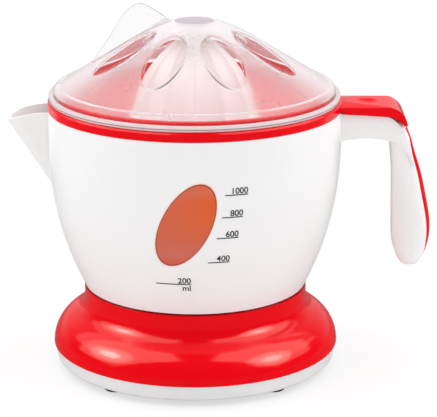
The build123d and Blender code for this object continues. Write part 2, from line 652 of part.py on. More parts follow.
# Output gear: wheel round the spindle, running in the gear plate
with BuildPart() as output_gear:
    with BuildSketch(level(OUTPUT_GEAR_FOOT, 0, 0, COMPOUND_ANGLE)):
        Polygon(*gear_outline(OUTPUT_TEETH, 1), align=None)
    extrude(amount=GEAR_FACE)
    with BuildSketch(level(OUTPUT_GEAR_FOOT + GEAR_FACE - WEB_RECESS)):
        Circle(GEAR_MODULE * OUTPUT_TEETH / 2 - WEB_RIM)
        Circle(OUTPUT_HUB_RADIUS, mode=Mode.SUBTRACT)
    extrude(amount=WEB_RECESS, mode=Mode.SUBTRACT)
    with Locations(level(GEAR_PLATE_TOP + SEAT_GAP)):
        Cylinder(OUTPUT_HUB_RADIUS, OUTPUT_HUB_HEIGHT, align=MIDDLE_UP)
    with Locations(level(GEAR_PLATE_UNDER)):
        Cylinder(OUTPUT_SPIGOT_RADIUS, GEAR_PLATE_WALL + SEAT_GAP, align=MIDDLE_UP)
    with BuildSketch(level(GEAR_PLATE_UNDER)):
        RegularPolygon(SPINDLE_HEX / 2 + HEX_GAP, 6, major_radius=False)
    extrude(amount=GEAR_BAY, mode=Mode.SUBTRACT)
output_gear.part.label = "output_gear"
export_step(output_gear.part, "parts/output_gear.step")

# Compound gear: large wheel driven by the motor, small gear driving the output wheel
with BuildPart() as compound_gear:
    with BuildSketch(level(WHEEL_FOOT, COMPOUND_X, COMPOUND_Y, ROTOR_ANGLE)):
        Polygon(*gear_outline(WHEEL_TEETH, 1), align=None)
    extrude(amount=GEAR_FACE)
    small_turn = COMPOUND_ANGLE + 180 + 180 / SMALL_TEETH
    with BuildSketch(level(GEAR_PLATE_TOP + SEAT_GAP, COMPOUND_X, COMPOUND_Y, small_turn)):
        Polygon(*gear_outline(SMALL_TEETH, 3), align=None)
    extrude(amount=WHEEL_FOOT - GEAR_PLATE_TOP - SEAT_GAP)
    with Locations(level(GEAR_PLATE_TOP, COMPOUND_X, COMPOUND_Y)):
        Cylinder(COMPOUND_PIN_RADIUS + RUN_GAP, GEAR_BAY, align=MIDDLE_UP, mode=Mode.SUBTRACT)
compound_gear.part.label = "compound_gear"
export_step(compound_gear.part, "parts/compound_gear.step")

with BuildPart() as compound_pin:
    with Locations(level(GEAR_PLATE_UNDER, COMPOUND_X, COMPOUND_Y)):
        Cylinder(COMPOUND_PIN_RADIUS, WHEEL_TOP + PIN_STAND - GEAR_PLATE_UNDER, align=MIDDLE_UP)
compound_pin.part.label = "compound_pin"
export_step(compound_pin.part, "parts/compound_pin.step")

# Motor core: laminated U with the rotor between its pole tips
with BuildPart() as motor_core:
    with BuildSketch(level(CORE_FOOT, ROTOR_X, ROTOR_Y)):
        with Locations((CORE_LENGTH / 2 - CORE_TAIL, 0)):
            Rectangle(CORE_LENGTH, 2 * CORE_HALF_WIDTH)
        with Locations((CORE_LENGTH / 2 - CORE_TAIL - CORE_YOKE / 2, 0)):
            Rectangle(CORE_LENGTH - CORE_YOKE, CORE_GAP, mode=Mode.SUBTRACT)
        Circle(ROTOR_RADIUS + ROTOR_AIR_GAP, mode=Mode.SUBTRACT)
    extrude(amount=CORE_STACK)
motor_core.part.label = "motor_core"
export_step(motor_core.part, "parts/motor_core.step")

# Coils: a wound bobbin round each limb of the core
COIL_START = ROTOR_X + ROTOR_RADIUS + ROTOR_AIR_GAP + COIL_SETBACK
for coil_name, coil_side in (("coil_front", -1), ("coil_rear", 1)):
    limb_y = ROTOR_Y + coil_side * (CORE_GAP + CORE_LIMB) / 2
    limb_plane = Plane(
        (SPINDLE_X + COIL_START, limb_y, CORE_FOOT + CORE_STACK / 2), x_dir=(0, 1, 0), z_dir=(1, 0, 0)
    )
    with BuildPart() as coil:
        with BuildSketch(limb_plane):
            RectangleRounded(CORE_LIMB + 2 * COIL_WALL, CORE_STACK + 2 * COIL_WALL, COIL_EDGE)
            Rectangle(CORE_LIMB + 2 * SEAT_GAP, CORE_STACK + 2 * SEAT_GAP, mode=Mode.SUBTRACT)
        extrude(amount=COIL_LENGTH)
    coil.part.label = coil_name
    export_step(coil.part, f"parts/{coil_name}.step")

# Rotor: magnet on its shaft, with the pinion above the gear plate
ROTOR_SHAFT_FOOT = CORE_FOOT - BRACKET_WALL - ROTOR_SHAFT_STAND
with BuildPart() as motor_rotor:
    with Locations(level(CORE_FOOT + ROTOR_CLEAR, ROTOR_X, ROTOR_Y)):
        Cylinder(ROTOR_RADIUS, CORE_STACK - 2 * ROTOR_CLEAR, align=MIDDLE_UP)
        Cylinder(ROTOR_SHAFT_RADIUS + RUN_GAP, CORE_STACK, align=MIDDLE_UP, mode=Mode.SUBTRACT)
motor_rotor.part.label = "motor_rotor"
export_step(motor_rotor.part, "parts/motor_rotor.step")

with BuildPart() as rotor_shaft:
    with Locations(level(ROTOR_SHAFT_FOOT, ROTOR_X, ROTOR_Y)):
        Cylinder(ROTOR_SHAFT_RADIUS, WHEEL_TOP + ROTOR_SHAFT_STAND - ROTOR_SHAFT_FOOT, align=MIDDLE_UP)
rotor_shaft.part.label = "rotor_shaft"
export_step(rotor_shaft.part, "parts/rotor_shaft.step")

with BuildPart() as motor_pinion:
    pinion_turn = ROTOR_ANGLE + 180 + 180 / PINION_TEETH
    with BuildSketch(level(WHEEL_FOOT, ROTOR_X, ROTOR_Y, pinion_turn)):
        Polygon(*gear_outline(PINION_TEETH, 3), align=None)
        Circle(ROTOR_SHAFT_RADIUS + RUN_GAP, mode=Mode.SUBTRACT)
    extrude(amount=GEAR_FACE)
motor_pinion.part.label = "motor_pinion"
export_step(motor_pinion.part, "parts/motor_pinion.step")

# Rotor bracket: strap under the core with the lower bearing
with BuildPart() as rotor_bracket:
    with Locations(level(CORE_FOOT - BRACKET_WALL, ROTOR_X, ROTOR_Y)):
        Box(BRACKET_WIDTH, 2 * CORE_HALF_WIDTH, BRACKET_WALL, align=MIDDLE_UP)
        Cylinder(ROTOR_SHAFT_RADIUS + RUN_GAP, BRACKET_WALL, align=MIDDLE_UP, mode=Mode.SUBTRACT)
rotor_bracket.part.label = "rotor_bracket"
export_step(rotor_bracket.part, "parts/rotor_bracket.step")

# Drive spindle: tail and collar on the spring, hexagon in the output gear, round in the bush, hexagon head
with BuildPart() as drive_spindle:
    with Locations(level(COLLAR_FOOT - TAIL_LENGTH)):
        Cylinder(TAIL_RADIUS, TAIL_LENGTH, align=MIDDLE_UP)
    with Locations(level(COLLAR_FOOT)):
        Cylinder(COLLAR_RADIUS, COLLAR_HEIGHT, align=MIDDLE_UP)
    with BuildSketch(level(COLLAR_TOP)):
        RegularPolygon(SPINDLE_HEX / 2, 6, major_radius=False)
    extrude(amount=DECK_UNDER - COLLAR_TOP)
    with Locations(level(DECK_UNDER)):
        Cylinder(SPINDLE_RADIUS, SPINDLE_HEAD - DECK_UNDER, align=MIDDLE_UP)
    with BuildSketch(level(SPINDLE_HEAD)):
        RegularPolygon(SPINDLE_HEAD_HEX / 2, 6, major_radius=False)
    extrude(amount=SPINDLE_TOP - SPINDLE_HEAD)
    chamfer(drive_spindle.faces().sort_by(Axis.Z)[-1].edges(), SPINDLE_TOP_EDGE)
drive_spindle.part.label = "drive_spindle"
export_step(drive_spindle.part, "parts/drive_spindle.step")

# Return spring between the base plate and the spindle collar
with BuildPart() as spindle_spring:
    spring_foot = PLATE_FLOOR + SPRING_WIRE + SEAT_GAP
    spring_rise = COLLAR_FOOT - SPRING_WIRE - SEAT_GAP - spring_foot
    with BuildLine():
        spring_pitch = spring_rise / SPRING_TURNS
        coil_line = Helix(spring_pitch, spring_rise, SPRING_RADIUS, center=(SPINDLE_X, 0, spring_foot))
    with BuildSketch(Plane(coil_line @ 0, z_dir=coil_line % 0)):
        Circle(SPRING_WIRE)
    sweep(path=coil_line, is_frenet=True)
spindle_spring.part.label = "spindle_spring"
export_step(spindle_spring.part, "parts/spindle_spring.step")

# Start switch: body with ears, button, lever and lever pin
LEVER_UNDER = LEVER_TOP - LEVER_WALL
EAR_TOP = LEVER_TOP + LEVER_PIN_RADIUS
with BuildPart() as micro_switch:
    with Locations(level(SWITCH_FOOT, SWITCH_START + SWITCH_LENGTH / 2)):
        Box(SWITCH_LENGTH, SWITCH_WIDTH, SWITCH_HEIGHT, align=MIDDLE_UP)
    with Locations(level(SWITCH_TOP, LEVER_PIVOT)):
        Box(EAR_LENGTH, SWITCH_WIDTH, EAR_TOP - SWITCH_TOP, align=MIDDLE_UP)
        Box(
            EAR_LENGTH + CUT,
            SWITCH_WIDTH - 2 * EAR_WALL,
            EAR_TOP - SWITCH_TOP,
            align=MIDDLE_UP,
            mode=Mode.SUBTRACT,
        )
    with BuildSketch(Plane((SPINDLE_X + LEVER_PIVOT, 0, LEVER_TOP - LEVER_KNUCKLE), z_dir=(0, 1, 0))):
        Circle(LEVER_PIN_RADIUS)
    extrude(amount=SWITCH_WIDTH, both=True, mode=Mode.SUBTRACT)
    with Locations(level(SWITCH_TOP, BUTTON_PLACE)):
        Cylinder(
            SWITCH_BUTTON_RADIUS + RUN_GAP,
            SWITCH_BUTTON_HEIGHT,
            align=(Align.CENTER, Align.CENTER, Align.MAX),
            mode=Mode.SUBTRACT,
        )
micro_switch.part.label = "micro_switch"
export_step(micro_switch.part, "parts/micro_switch.step")

with BuildPart() as switch_button:
    with Locations(level(LEVER_UNDER - SEAT_GAP, BUTTON_PLACE)):
        Cylinder(
            SWITCH_BUTTON_RADIUS,
            LEVER_UNDER - SEAT_GAP - SWITCH_TOP + SWITCH_BUTTON_STAND,
            align=(Align.CENTER, Align.CENTER, Align.MAX),
        )
switch_button.part.label = "switch_button"
export_step(switch_button.part, "parts/switch_button.step")

with BuildPart() as switch_lever:
    with Locations(level(LEVER_UNDER, (LEVER_TIP + LEVER_PIVOT) / 2)):
        Box(LEVER_PIVOT - LEVER_TIP, LEVER_WIDTH, LEVER_WALL, align=MIDDLE_UP)
    with BuildSketch(Plane((SPINDLE_X + LEVER_PIVOT, 0, LEVER_TOP - LEVER_KNUCKLE), z_dir=(0, 1, 0))):
        Circle(LEVER_KNUCKLE)
    extrude(amount=LEVER_WIDTH / 2, both=True)
    with BuildSketch(Plane((SPINDLE_X + LEVER_PIVOT, 0, LEVER_TOP - LEVER_KNUCKLE), z_dir=(0, 1, 0))):
        Circle(LEVER_PIN_RADIUS + RUN_GAP)
    extrude(amount=LEVER_WIDTH, both=True, mode=Mode.SUBTRACT)
switch_lever.part.label = "switch_lever"
export_step(switch_lever.part, "parts/switch_lever.step")

with BuildPart() as lever_pin:
    with BuildSketch(Plane((SPINDLE_X + LEVER_PIVOT, 0, LEVER_TOP - LEVER_KNUCKLE), z_dir=(0, 1, 0))):
        Circle(LEVER_PIN_RADIUS)
    extrude(amount=SWITCH_WIDTH / 2, both=True)
lever_pin.part.label = "lever_pin"
export_step(lever_pin.part, "parts/lever_pin.step")

# Jug cavity: the space inside the wall, down to the ledge that carries the floor
with BuildPart() as jug_cavity:
    with BuildSketch(UPRIGHT):
        with BuildLine():
            ledge_edge = (jug_radius(JUG_LEDGE, JUG_WALL), JUG_LEDGE)
            shoulder = (RIM_RADIUS - JUG_WALL, JUG_SHOULDER)
            lip_inner = RIM_RADIUS - JUG_LIP_INSET - JUG_LIP_WALL
            TangentArc(shoulder, ledge_edge, tangent=(0, -1))
            Polyline(
                ledge_edge,
                (0, JUG_LEDGE),
                (0, JUG_LIP_TOP + CUT),
                (lip_inner, JUG_LIP_TOP + CUT),
                (lip_inner, BAND_BOTTOM - JUG_LIP_DEPTH),
                (RIM_RADIUS - JUG_WALL, BAND_BOTTOM - JUG_LIP_DEPTH - JUG_LIP_SLOPE),
                shoulder,
            )
        make_face()
    revolve(axis=SPINDLE)

# Spout: a beak that widens upward from the wall, outside and inside
SPOUT_TOP = BAND_BOTTOM - SPOUT_EDGE_DROP
SPOUT_FOOT = BAND_BOTTOM - SPOUT_FOOT_DROP
SPOUT_TIP = BAND_BOTTOM - SPOUT_TIP_DROP
SPOUT_FOOT_REACH = jug_radius(SPOUT_FOOT)
SPOUT_SLOPE = (SPOUT_REACH - SPOUT_FOOT_REACH) / (SPOUT_TIP - SPOUT_FOOT)


def beak(inset, rise):
    """Spout body, inset from its outside, up to a height over the wall's top edge."""
    top = BAND_BOTTOM + rise
    share = (top - SPOUT_FOOT) / (BAND_BOTTOM - SPOUT_FOOT)
    sections = (
        (SPOUT_FOOT, SPOUT_FOOT_REACH, SPOUT_FOOT_HALF_WIDTH),
        (
            top,
            SPOUT_FOOT_REACH + SPOUT_SLOPE * (top - SPOUT_FOOT),
            SPOUT_FOOT_HALF_WIDTH + (SPOUT_HALF_WIDTH - SPOUT_FOOT_HALF_WIDTH) * share,
        ),
    )
    with BuildPart() as body:
        for height, reach, half_width in sections:
            root = SPOUT_FOOT_REACH - SPOUT_ROOT
            nose = reach - inset
            side = half_width - min(inset, half_width / 2)
            straight = root + (nose - root) * (1 - SPOUT_STRAIGHT_SHARE)
            with BuildSketch(level(height)):
                with BuildLine():
                    near = TangentArc((-straight, -side), (-nose, 0), tangent=(-1, 0))
                    far = TangentArc((-straight, side), (-nose, 0), tangent=(-1, 0))
                    Polyline(near @ 0, (-root, -side), (-root, side), far @ 0)
                make_face()
        loft(ruled=True)
    return body.part


spout_outside = beak(0, 0)
spout_inside = beak(SPOUT_WALL, BAND_HEIGHT)
with BuildPart() as spout:
    add(spout_outside)
    with BuildSketch(UPRIGHT):
        with BuildLine():
            edge = TangentArc((-RIM_RADIUS, SPOUT_TOP), (-SPOUT_REACH, SPOUT_TIP), tangent=(-1, 0))
            Polyline(
                edge @ 1,
                (-SPOUT_REACH - SPOUT_ROOT, SPOUT_TIP),
                (-SPOUT_REACH - SPOUT_ROOT, BAND_BOTTOM + CUT),
                (-RIM_RADIUS + SPOUT_ROOT, BAND_BOTTOM + CUT),
                (-RIM_RADIUS + SPOUT_ROOT, SPOUT_TOP),
                edge @ 0,
            )
        make_face()
    extrude(amount=SPOUT_HALF_WIDTH + SPOUT_ROOT, both=True, mode=Mode.SUBTRACT)

# Handle grip: rounded sections stacked from the tongue down to the free end
with BuildPart() as grip:
    for up, inner, back in GRIP_SHARES:
        depth = (back - inner) * (HANDLE_REACH - RIM_RADIUS)
        width = 2 * (HANDLE_HALF_WIDTH - GRIP_STEP) * min(1, depth / (STRIP_WALL + STRIP_HALF_WIDTH))
        centre, height = handle_point(((inner + back) / 2, up))
        with BuildSketch(level(height, centre)):
            RectangleRounded(depth, width, GRIP_ROUND_SHARE * min(depth, width))
    loft()


def back_band(half_width, wall):
    """Slab along the back of the grip, as deep as the wall and open outward."""
    top, foot = STRIP_SHARES
    with BuildPart() as band:
        for up, inner, back in GRIP_SHARES:
            if foot < up < top:
                outer, height = handle_point((back, up))
                with BuildSketch(level(height, outer + (STRIP_PROUD - wall) / 2)):
                    Rectangle(wall + STRIP_PROUD, 2 * half_width)
        loft(ruled=True)
    return band.part


# Blade from the jug wall down the back of the grip, flat sided, with an arched underside
with BuildPart() as blade:
    with BuildSketch(UPRIGHT):
        with BuildLine():
            back_points = [
                handle_point((back, up)) for up, inner, back in GRIP_SHARES if up > BLADE_END_SHARE
            ]
            blade_top = back_points[0][1]
            blade_drop = blade_top - back_points[-1][1]
            blade_lean = (BLADE_END_INSET - BLADE_INSET) / blade_drop
            blade_back = [
                (across - BLADE_INSET - blade_lean * (blade_top - height), height)
                for across, height in back_points
            ]
            arch = Spline(*[handle_point(shares) for shares in ARCH_SHARES], blade_back[-1])
            end = RIM_RADIUS + BRACKET_END_SHARE * (HANDLE_REACH - RIM_RADIUS)
            top = BAND_BOTTOM - HANDLE_TOP_DROP
            Polyline(
                arch @ 0,
                (RIM_RADIUS - HANDLE_ROOT, (arch @ 0).Y),
                (RIM_RADIUS - HANDLE_ROOT, top),
                (RIM_RADIUS, top),
                (end, top - HANDLE_TOP_SLOPE),
                *blade_back,
            )
        make_face()
    extrude(amount=HANDLE_HALF_WIDTH, both=True)

# Back strip: red insert set flush in the back of the grip
strip_pocket = back_band(STRIP_HALF_WIDTH, STRIP_WALL)
strip_slab = back_band(STRIP_HALF_WIDTH - INSERT_GAP, STRIP_WALL - INSERT_GAP)
with BuildPart() as handle_back_strip:
    add(grip.part)
    add(strip_slab, mode=Mode.INTERSECT)
handle_back_strip.part.label = "handle_back_strip"
export_step(handle_back_strip.part, "parts/handle_back_strip.step")

window_plane = Plane(
    (SPINDLE_X + WINDOW_SHIFT, 0, JUG_BASE + WINDOW_HEIGHT), x_dir=(0, 0, 1), z_dir=(0, -1, 0)
)
with BuildPart() as jug:
    with BuildSketch(UPRIGHT):
        with BuildLine():
            spigot = NECK_RADIUS - BASE_WALL - FIT_GAP
            wall_foot = (JUG_FOOT_RADIUS, JUG_BASE)
            wall_shoulder = (RIM_RADIUS, JUG_SHOULDER)
            lip = RIM_RADIUS - JUG_LIP_INSET
            TangentArc(wall_shoulder, wall_foot, tangent=(0, -1))
            Polyline(
                wall_foot,
                (spigot, JUG_BASE),
                (spigot, DECK_TOP),
                (spigot - SPIGOT_WALL, DECK_TOP),
                (spigot - SPIGOT_WALL, JUG_LIP_TOP),
                (lip, JUG_LIP_TOP),
                (lip, BAND_BOTTOM - SEAT_GAP),
                (RIM_RADIUS, BAND_BOTTOM - SEAT_GAP),
                wall_shoulder,
            )
        make_face()
    revolve(axis=SPINDLE)
    add(grip.part)
    add(blade.part)
    add(strip_pocket, mode=Mode.SUBTRACT)
    add(spout.part)
    add(jug_cavity.part, mode=Mode.SUBTRACT)
    add(spout_inside, mode=Mode.SUBTRACT)
    with BuildSketch(window_plane):
        Ellipse(WINDOW_HALF_LENGTH, WINDOW_HALF_WIDTH, rotation=-WINDOW_LEAN)
    extrude(amount=RIM_RADIUS, mode=Mode.SUBTRACT)
jug.part.label = "jug"
export_step(jug.part, "parts/jug.step")

# Jug floor: stepped disc that rests on the ledge inside the foot ring, with a hole for the column
with BuildPart() as jug_floor:
    with BuildSketch(UPRIGHT):
        floor_hole = COLUMN_RADIUS + INSERT_GAP
        floor_step = NECK_RADIUS - BASE_WALL - FIT_GAP - SPIGOT_WALL - INSERT_GAP
        floor_edge = jug_radius(JUG_LEDGE, JUG_WALL) - INSERT_GAP
        Polygon(
            (floor_hole, JUG_BASE),
            (floor_step, JUG_BASE),
            (floor_step, JUG_LEDGE + SEAT_GAP),
            (floor_edge, JUG_LEDGE + SEAT_GAP),
            (floor_edge, JUG_FLOOR),
            (floor_hole, JUG_FLOOR),
            align=None,
        )
    revolve(axis=SPINDLE)
jug_floor.part.label = "jug_floor"
export_step(jug_floor.part, "parts/jug_floor.step")

# Jug column: tapered tube over the spindle, pressed through the jug floor up to its flange
with BuildPart() as jug_column:
    with BuildSketch(UPRIGHT):
        bore = COLUMN_RADIUS - COLUMN_WALL
        flange_foot = JUG_FLOOR + SEAT_GAP
        Polygon(
            (bore, JUG_BASE),
            (COLUMN_RADIUS, JUG_BASE),
            (COLUMN_RADIUS, flange_foot),
            (COLUMN_RADIUS + COLUMN_FLANGE, flange_foot),
            (COLUMN_RADIUS + COLUMN_FLANGE, flange_foot + COLUMN_FLANGE_WALL),
            (COLUMN_RADIUS, flange_foot + COLUMN_FLANGE_WALL),
            (COLUMN_RADIUS - COLUMN_TAPER, COLUMN_TOP),
            (bore - COLUMN_TAPER, COLUMN_TOP),
            align=None,
        )
    revolve(axis=SPINDLE)
jug_column.part.label = "jug_column"
export_step(jug_column.part, "parts/jug_column.step")

# Level window: oval insert moulded into the wall and following its curve
with BuildPart() as level_window:
    with BuildSketch(UPRIGHT):
        with BuildLine():
            outer_top = (RIM_RADIUS, JUG_SHOULDER)
            outer_low = (jug_radius(JUG_FLOOR), JUG_FLOOR)
            inner_top = (RIM_RADIUS - JUG_WALL, JUG_SHOULDER)
            inner_low = (jug_radius(JUG_FLOOR, JUG_WALL), JUG_FLOOR)
            TangentArc(outer_top, outer_low, tangent=(0, -1))
            TangentArc(inner_top, inner_low, tangent=(0, -1))
            Line(outer_top, inner_top)
            Line(outer_low, inner_low)
        make_face()
    revolve(axis=SPINDLE)
    with BuildSketch(window_plane):
        Ellipse(WINDOW_HALF_LENGTH - INSERT_GAP, WINDOW_HALF_WIDTH - INSERT_GAP, rotation=-WINDOW_LEAN)
    extrude(amount=RIM_RADIUS + CUT, mode=Mode.INTERSECT)
level_window.part.label = "level_window"
export_step(level_window.part, "parts/level_window.step")

# Strainer: bowl with drain slots, hub, locating bead, rim skirt and the tongue over the handle
with BuildPart() as tongue:
    with BuildSketch(Plane((SPINDLE_X, 0, 0), x_dir=(0, 1, 0), z_dir=(1, 0, 0))):
        with BuildLine():
            side_foot = BAND_BOTTOM - HANDLE_TOP_DROP - TONGUE_TIP_DROP
            side_top = BAND_BOTTOM - HANDLE_TOP_DROP + TONGUE_WALL + SEAT_GAP
            crown = ThreePointArc(
                (-TONGUE_HALF_WIDTH, side_top), (0, side_top + TONGUE_CROWN), (TONGUE_HALF_WIDTH, side_top)
            )
            Polyline(crown @ 1, (TONGUE_HALF_WIDTH, side_foot), (-TONGUE_HALF_WIDTH, side_foot), crown @ 0)
        make_face()
    extrude(amount=TONGUE_REACH)
    with BuildSketch(UPRIGHT):
        with BuildLine():
            tongue_foot = BAND_BOTTOM - HANDLE_TOP_DROP + SEAT_GAP
            tongue_top = tongue_foot + TONGUE_WALL + TONGUE_CROWN
            slope = HANDLE_TOP_SLOPE / (TONGUE_REACH - RIM_RADIUS)
            bend = (TONGUE_STRAIGHT, tongue_top - slope * (TONGUE_STRAIGHT - RIM_RADIUS))
            tip = (TONGUE_REACH, tongue_foot - TONGUE_TIP_DROP + TONGUE_WALL)
            tip_under = (TONGUE_REACH - TONGUE_WALL / 2, tongue_foot - TONGUE_TIP_DROP + TONGUE_WALL)
            under = (TONGUE_STRAIGHT, tongue_foot - slope * (TONGUE_STRAIGHT - RIM_RADIUS))
            TangentArc(bend, tip, tangent=(1, -slope))
            Line(tip, tip_under)
            TangentArc(under, tip_under, tangent=(1, -slope))
            Polyline(
                under,
                (RIM_RADIUS + FIT_GAP, tongue_foot),
                (RIM_RADIUS + FIT_GAP, BAND_BOTTOM),
                (RIM_RADIUS - SKIRT_WALL, BAND_BOTTOM),
                (RIM_RADIUS - SKIRT_WALL, tongue_top),
                (RIM_RADIUS, tongue_top),
                bend,
            )
        make_face()
    extrude(amount=2 * TONGUE_HALF_WIDTH, both=True, mode=Mode.INTERSECT)
    dimple_sphere = (DIMPLE_RADIUS**2 + DIMPLE_DEPTH**2) / (2 * DIMPLE_DEPTH)
    dimple_floor = tongue_top - slope * (DIMPLE_PLACE - RIM_RADIUS) - DIMPLE_DEPTH
    with Locations(level(dimple_floor + dimple_sphere, DIMPLE_PLACE)):
        Sphere(dimple_sphere, mode=Mode.SUBTRACT)

with BuildPart() as strainer:
    with BuildSketch(UPRIGHT):
        hub = BOWL_HUB_RADIUS - BOWL_HUB_WALL
        bead_inner = BEAD_RADIUS - BEAD_WALL
        rim_under = JUG_LIP_TOP + SEAT_GAP
        Polygon(
            (RIM_RADIUS, BAND_BOTTOM),
            (RIM_RADIUS, BAND_TOP - RING_EDGE),
            (RIM_RADIUS - RING_EDGE, BAND_TOP),
            (BEAD_RADIUS, BAND_TOP),
            (BEAD_RADIUS, BAND_TOP + BEAD_HEIGHT - BEAD_EDGE),
            (BEAD_RADIUS - BEAD_EDGE, BAND_TOP + BEAD_HEIGHT),
            (bead_inner, BAND_TOP + BEAD_HEIGHT),
            (bead_inner, BAND_TOP),
            (BOWL_FLOOR_RADIUS, BOWL_FLOOR + BOWL_FALL),
            (BOWL_HUB_RADIUS, BOWL_FLOOR),
            (BOWL_HUB_RADIUS, BOWL_FLOOR + BOWL_HUB_HEIGHT),
            (hub, BOWL_FLOOR + BOWL_HUB_HEIGHT),
            (hub, BOWL_FLOOR - BOWL_WALL),
            (BOWL_FLOOR_RADIUS + BOWL_WALL / 2, BOWL_FLOOR + BOWL_FALL - BOWL_WALL),
            (bead_inner + BOWL_WALL / 2, rim_under),
            (RIM_RADIUS - SKIRT_WALL, rim_under),
            (RIM_RADIUS - SKIRT_WALL, BAND_BOTTOM),
            align=None,
        )
    revolve(axis=SPINDLE)
    with BuildSketch(level(BOWL_FLOOR - BOWL_WALL - CUT)):
        with PolarLocations((SLOT_START + SLOT_END) / 2, SLOT_COUNT):
            SlotOverall(SLOT_END - SLOT_START, SLOT_WIDTH)
    extrude(amount=BOWL_DEPTH, mode=Mode.SUBTRACT)
    add(tongue.part)
strainer.part.label = "strainer"
export_step(strainer.part, "parts/strainer.step")

# Reamer: fluted cone, hollow below, with a hexagon socket on the spindle head
with BuildPart() as reamer:
    for up, out in REAMER_SHARES:
        crest = REAMER_RADIUS * out
        valley = crest * (1 - REAMER_FLUTE_SHARE)
        step = 360 / REAMER_RIDGES
        with BuildSketch(level(REAMER_BODY + up * REAMER_HEIGHT)):
            with BuildLine():
                for ridge in range(REAMER_RIDGES):
                    ThreePointArc(
                        polar(crest, step * ridge),
                        polar(valley, step * (ridge + 1 / 2)),
                        polar(crest, step * (ridge + 1)),
                    )
            make_face()
    loft()
    with Locations(level(REAMER_FOOT)):
        Cylinder(REAMER_RADIUS, REAMER_RIM_HEIGHT, align=MIDDLE_UP)
    with BuildSketch(UPRIGHT):
        cavity = [
            (REAMER_RADIUS * out, REAMER_BODY + up * REAMER_HEIGHT) for up, out in REAMER_CAVITY_SHARES
        ]
        cavity_foot = (REAMER_RADIUS * REAMER_CAVITY_SHARES[0][1], REAMER_FOOT - CUT)
        cavity_top = (REAMER_HUB_RADIUS, cavity[-1][1] + REAMER_WALL)
        Polygon((REAMER_HUB_RADIUS, REAMER_FOOT - CUT), cavity_foot, *cavity, cavity_top, align=None)
    revolve(axis=SPINDLE, mode=Mode.SUBTRACT)
    with BuildSketch(level(REAMER_FOOT - CUT)):
        RegularPolygon(SPINDLE_HEAD_HEX / 2 + HEX_GAP, 6, major_radius=False)
    extrude(amount=REAMER_SEAT - REAMER_FOOT + CUT, mode=Mode.SUBTRACT)
reamer.part.label = "reamer"
export_step(reamer.part, "parts/reamer.step")

# Dust cover: clear dome with a flange, pressed oval dents, a dimpled top and a grip fin
CONE_SLOPE = atan2(COVER_CROWN_RISE - COVER_CONE_RISE, COVER_CONE_RADIUS - COVER_CROWN_RADIUS)


def dome(inset):
    """Solid of the dome, inset from its outside."""
    across = inset * sin(CONE_SLOPE)
    down = inset * cos(CONE_SLOPE)
    foot_radius = COVER_FOOT_RADIUS - inset
    with BuildPart() as body:
        with BuildSketch(UPRIGHT):
            with BuildLine():
                cone_start = (COVER_CONE_RADIUS - across, COVER_BASE + COVER_CONE_RISE - down)
                cone_end = (COVER_CROWN_RADIUS - across, COVER_BASE + COVER_CROWN_RISE - down)
                foot_top = (foot_radius, COVER_BASE + COVER_FLANGE_HEIGHT + COVER_FOOT_HEIGHT)
                top = (COVER_TOP_RADIUS, COVER_BASE + COVER_TOP_RISE - inset)
                dimple = (0, COVER_BASE + COVER_TOP_RISE - inset - COVER_DIMPLE)
                TangentArc(foot_top, cone_start, tangent=(0, 1))
                Line(cone_start, cone_end)
                TangentArc(cone_end, top, tangent=(-cos(CONE_SLOPE), sin(CONE_SLOPE)))
                Polyline(top, dimple, (0, COVER_BASE - inset), (foot_radius, COVER_BASE - inset), foot_top)
            make_face()
        revolve(axis=SPINDLE)
    return body.part


def dent(inset):
    """Spheroid that presses one oval dent into the dome on the +X side, grown by the inset."""
    round_radius = (DENT_HALF_WIDTH**2 + DENT_DEPTH**2) / (2 * DENT_DEPTH)
    lift = round_radius - DENT_DEPTH
    long_radius = DENT_HALF_LENGTH / sqrt(1 - (lift / round_radius) ** 2)
    middle_rise = COVER_CONE_RISE + (COVER_CONE_RADIUS - DENT_PLACE) * tan(CONE_SLOPE)
    centre = (
        DENT_PLACE + lift * sin(CONE_SLOPE),
        COVER_BASE + middle_rise + lift * cos(CONE_SLOPE),
    )
    slope_plane = Plane(
        (centre[0], 0, centre[1]), x_dir=(-cos(CONE_SLOPE), 0, sin(CONE_SLOPE)), z_dir=(0, -1, 0)
    )
    with BuildPart() as body:
        with BuildSketch(slope_plane):
            Ellipse(long_radius + inset, round_radius + inset)
            Rectangle(
                2 * long_radius + 2 * inset + CUT,
                round_radius + inset,
                align=(Align.CENTER, Align.MIN),
                mode=Mode.SUBTRACT,
            )
        revolve(axis=Axis((centre[0], 0, centre[1]), (-cos(CONE_SLOPE), 0, sin(CONE_SLOPE))))
    return body.part


dome_outside = dome(0)
dome_inside = dome(COVER_WALL)
dent_outside = dent(0)
dent_inside = dent(COVER_WALL)
with BuildPart() as cover_hollow:
    add(dome_inside)
    with Locations((SPINDLE_X, 0, 0)):
        with PolarLocations(0, DENT_COUNT, start_angle=DENT_FIRST_ANGLE):
            add(dent_inside, mode=Mode.SUBTRACT)

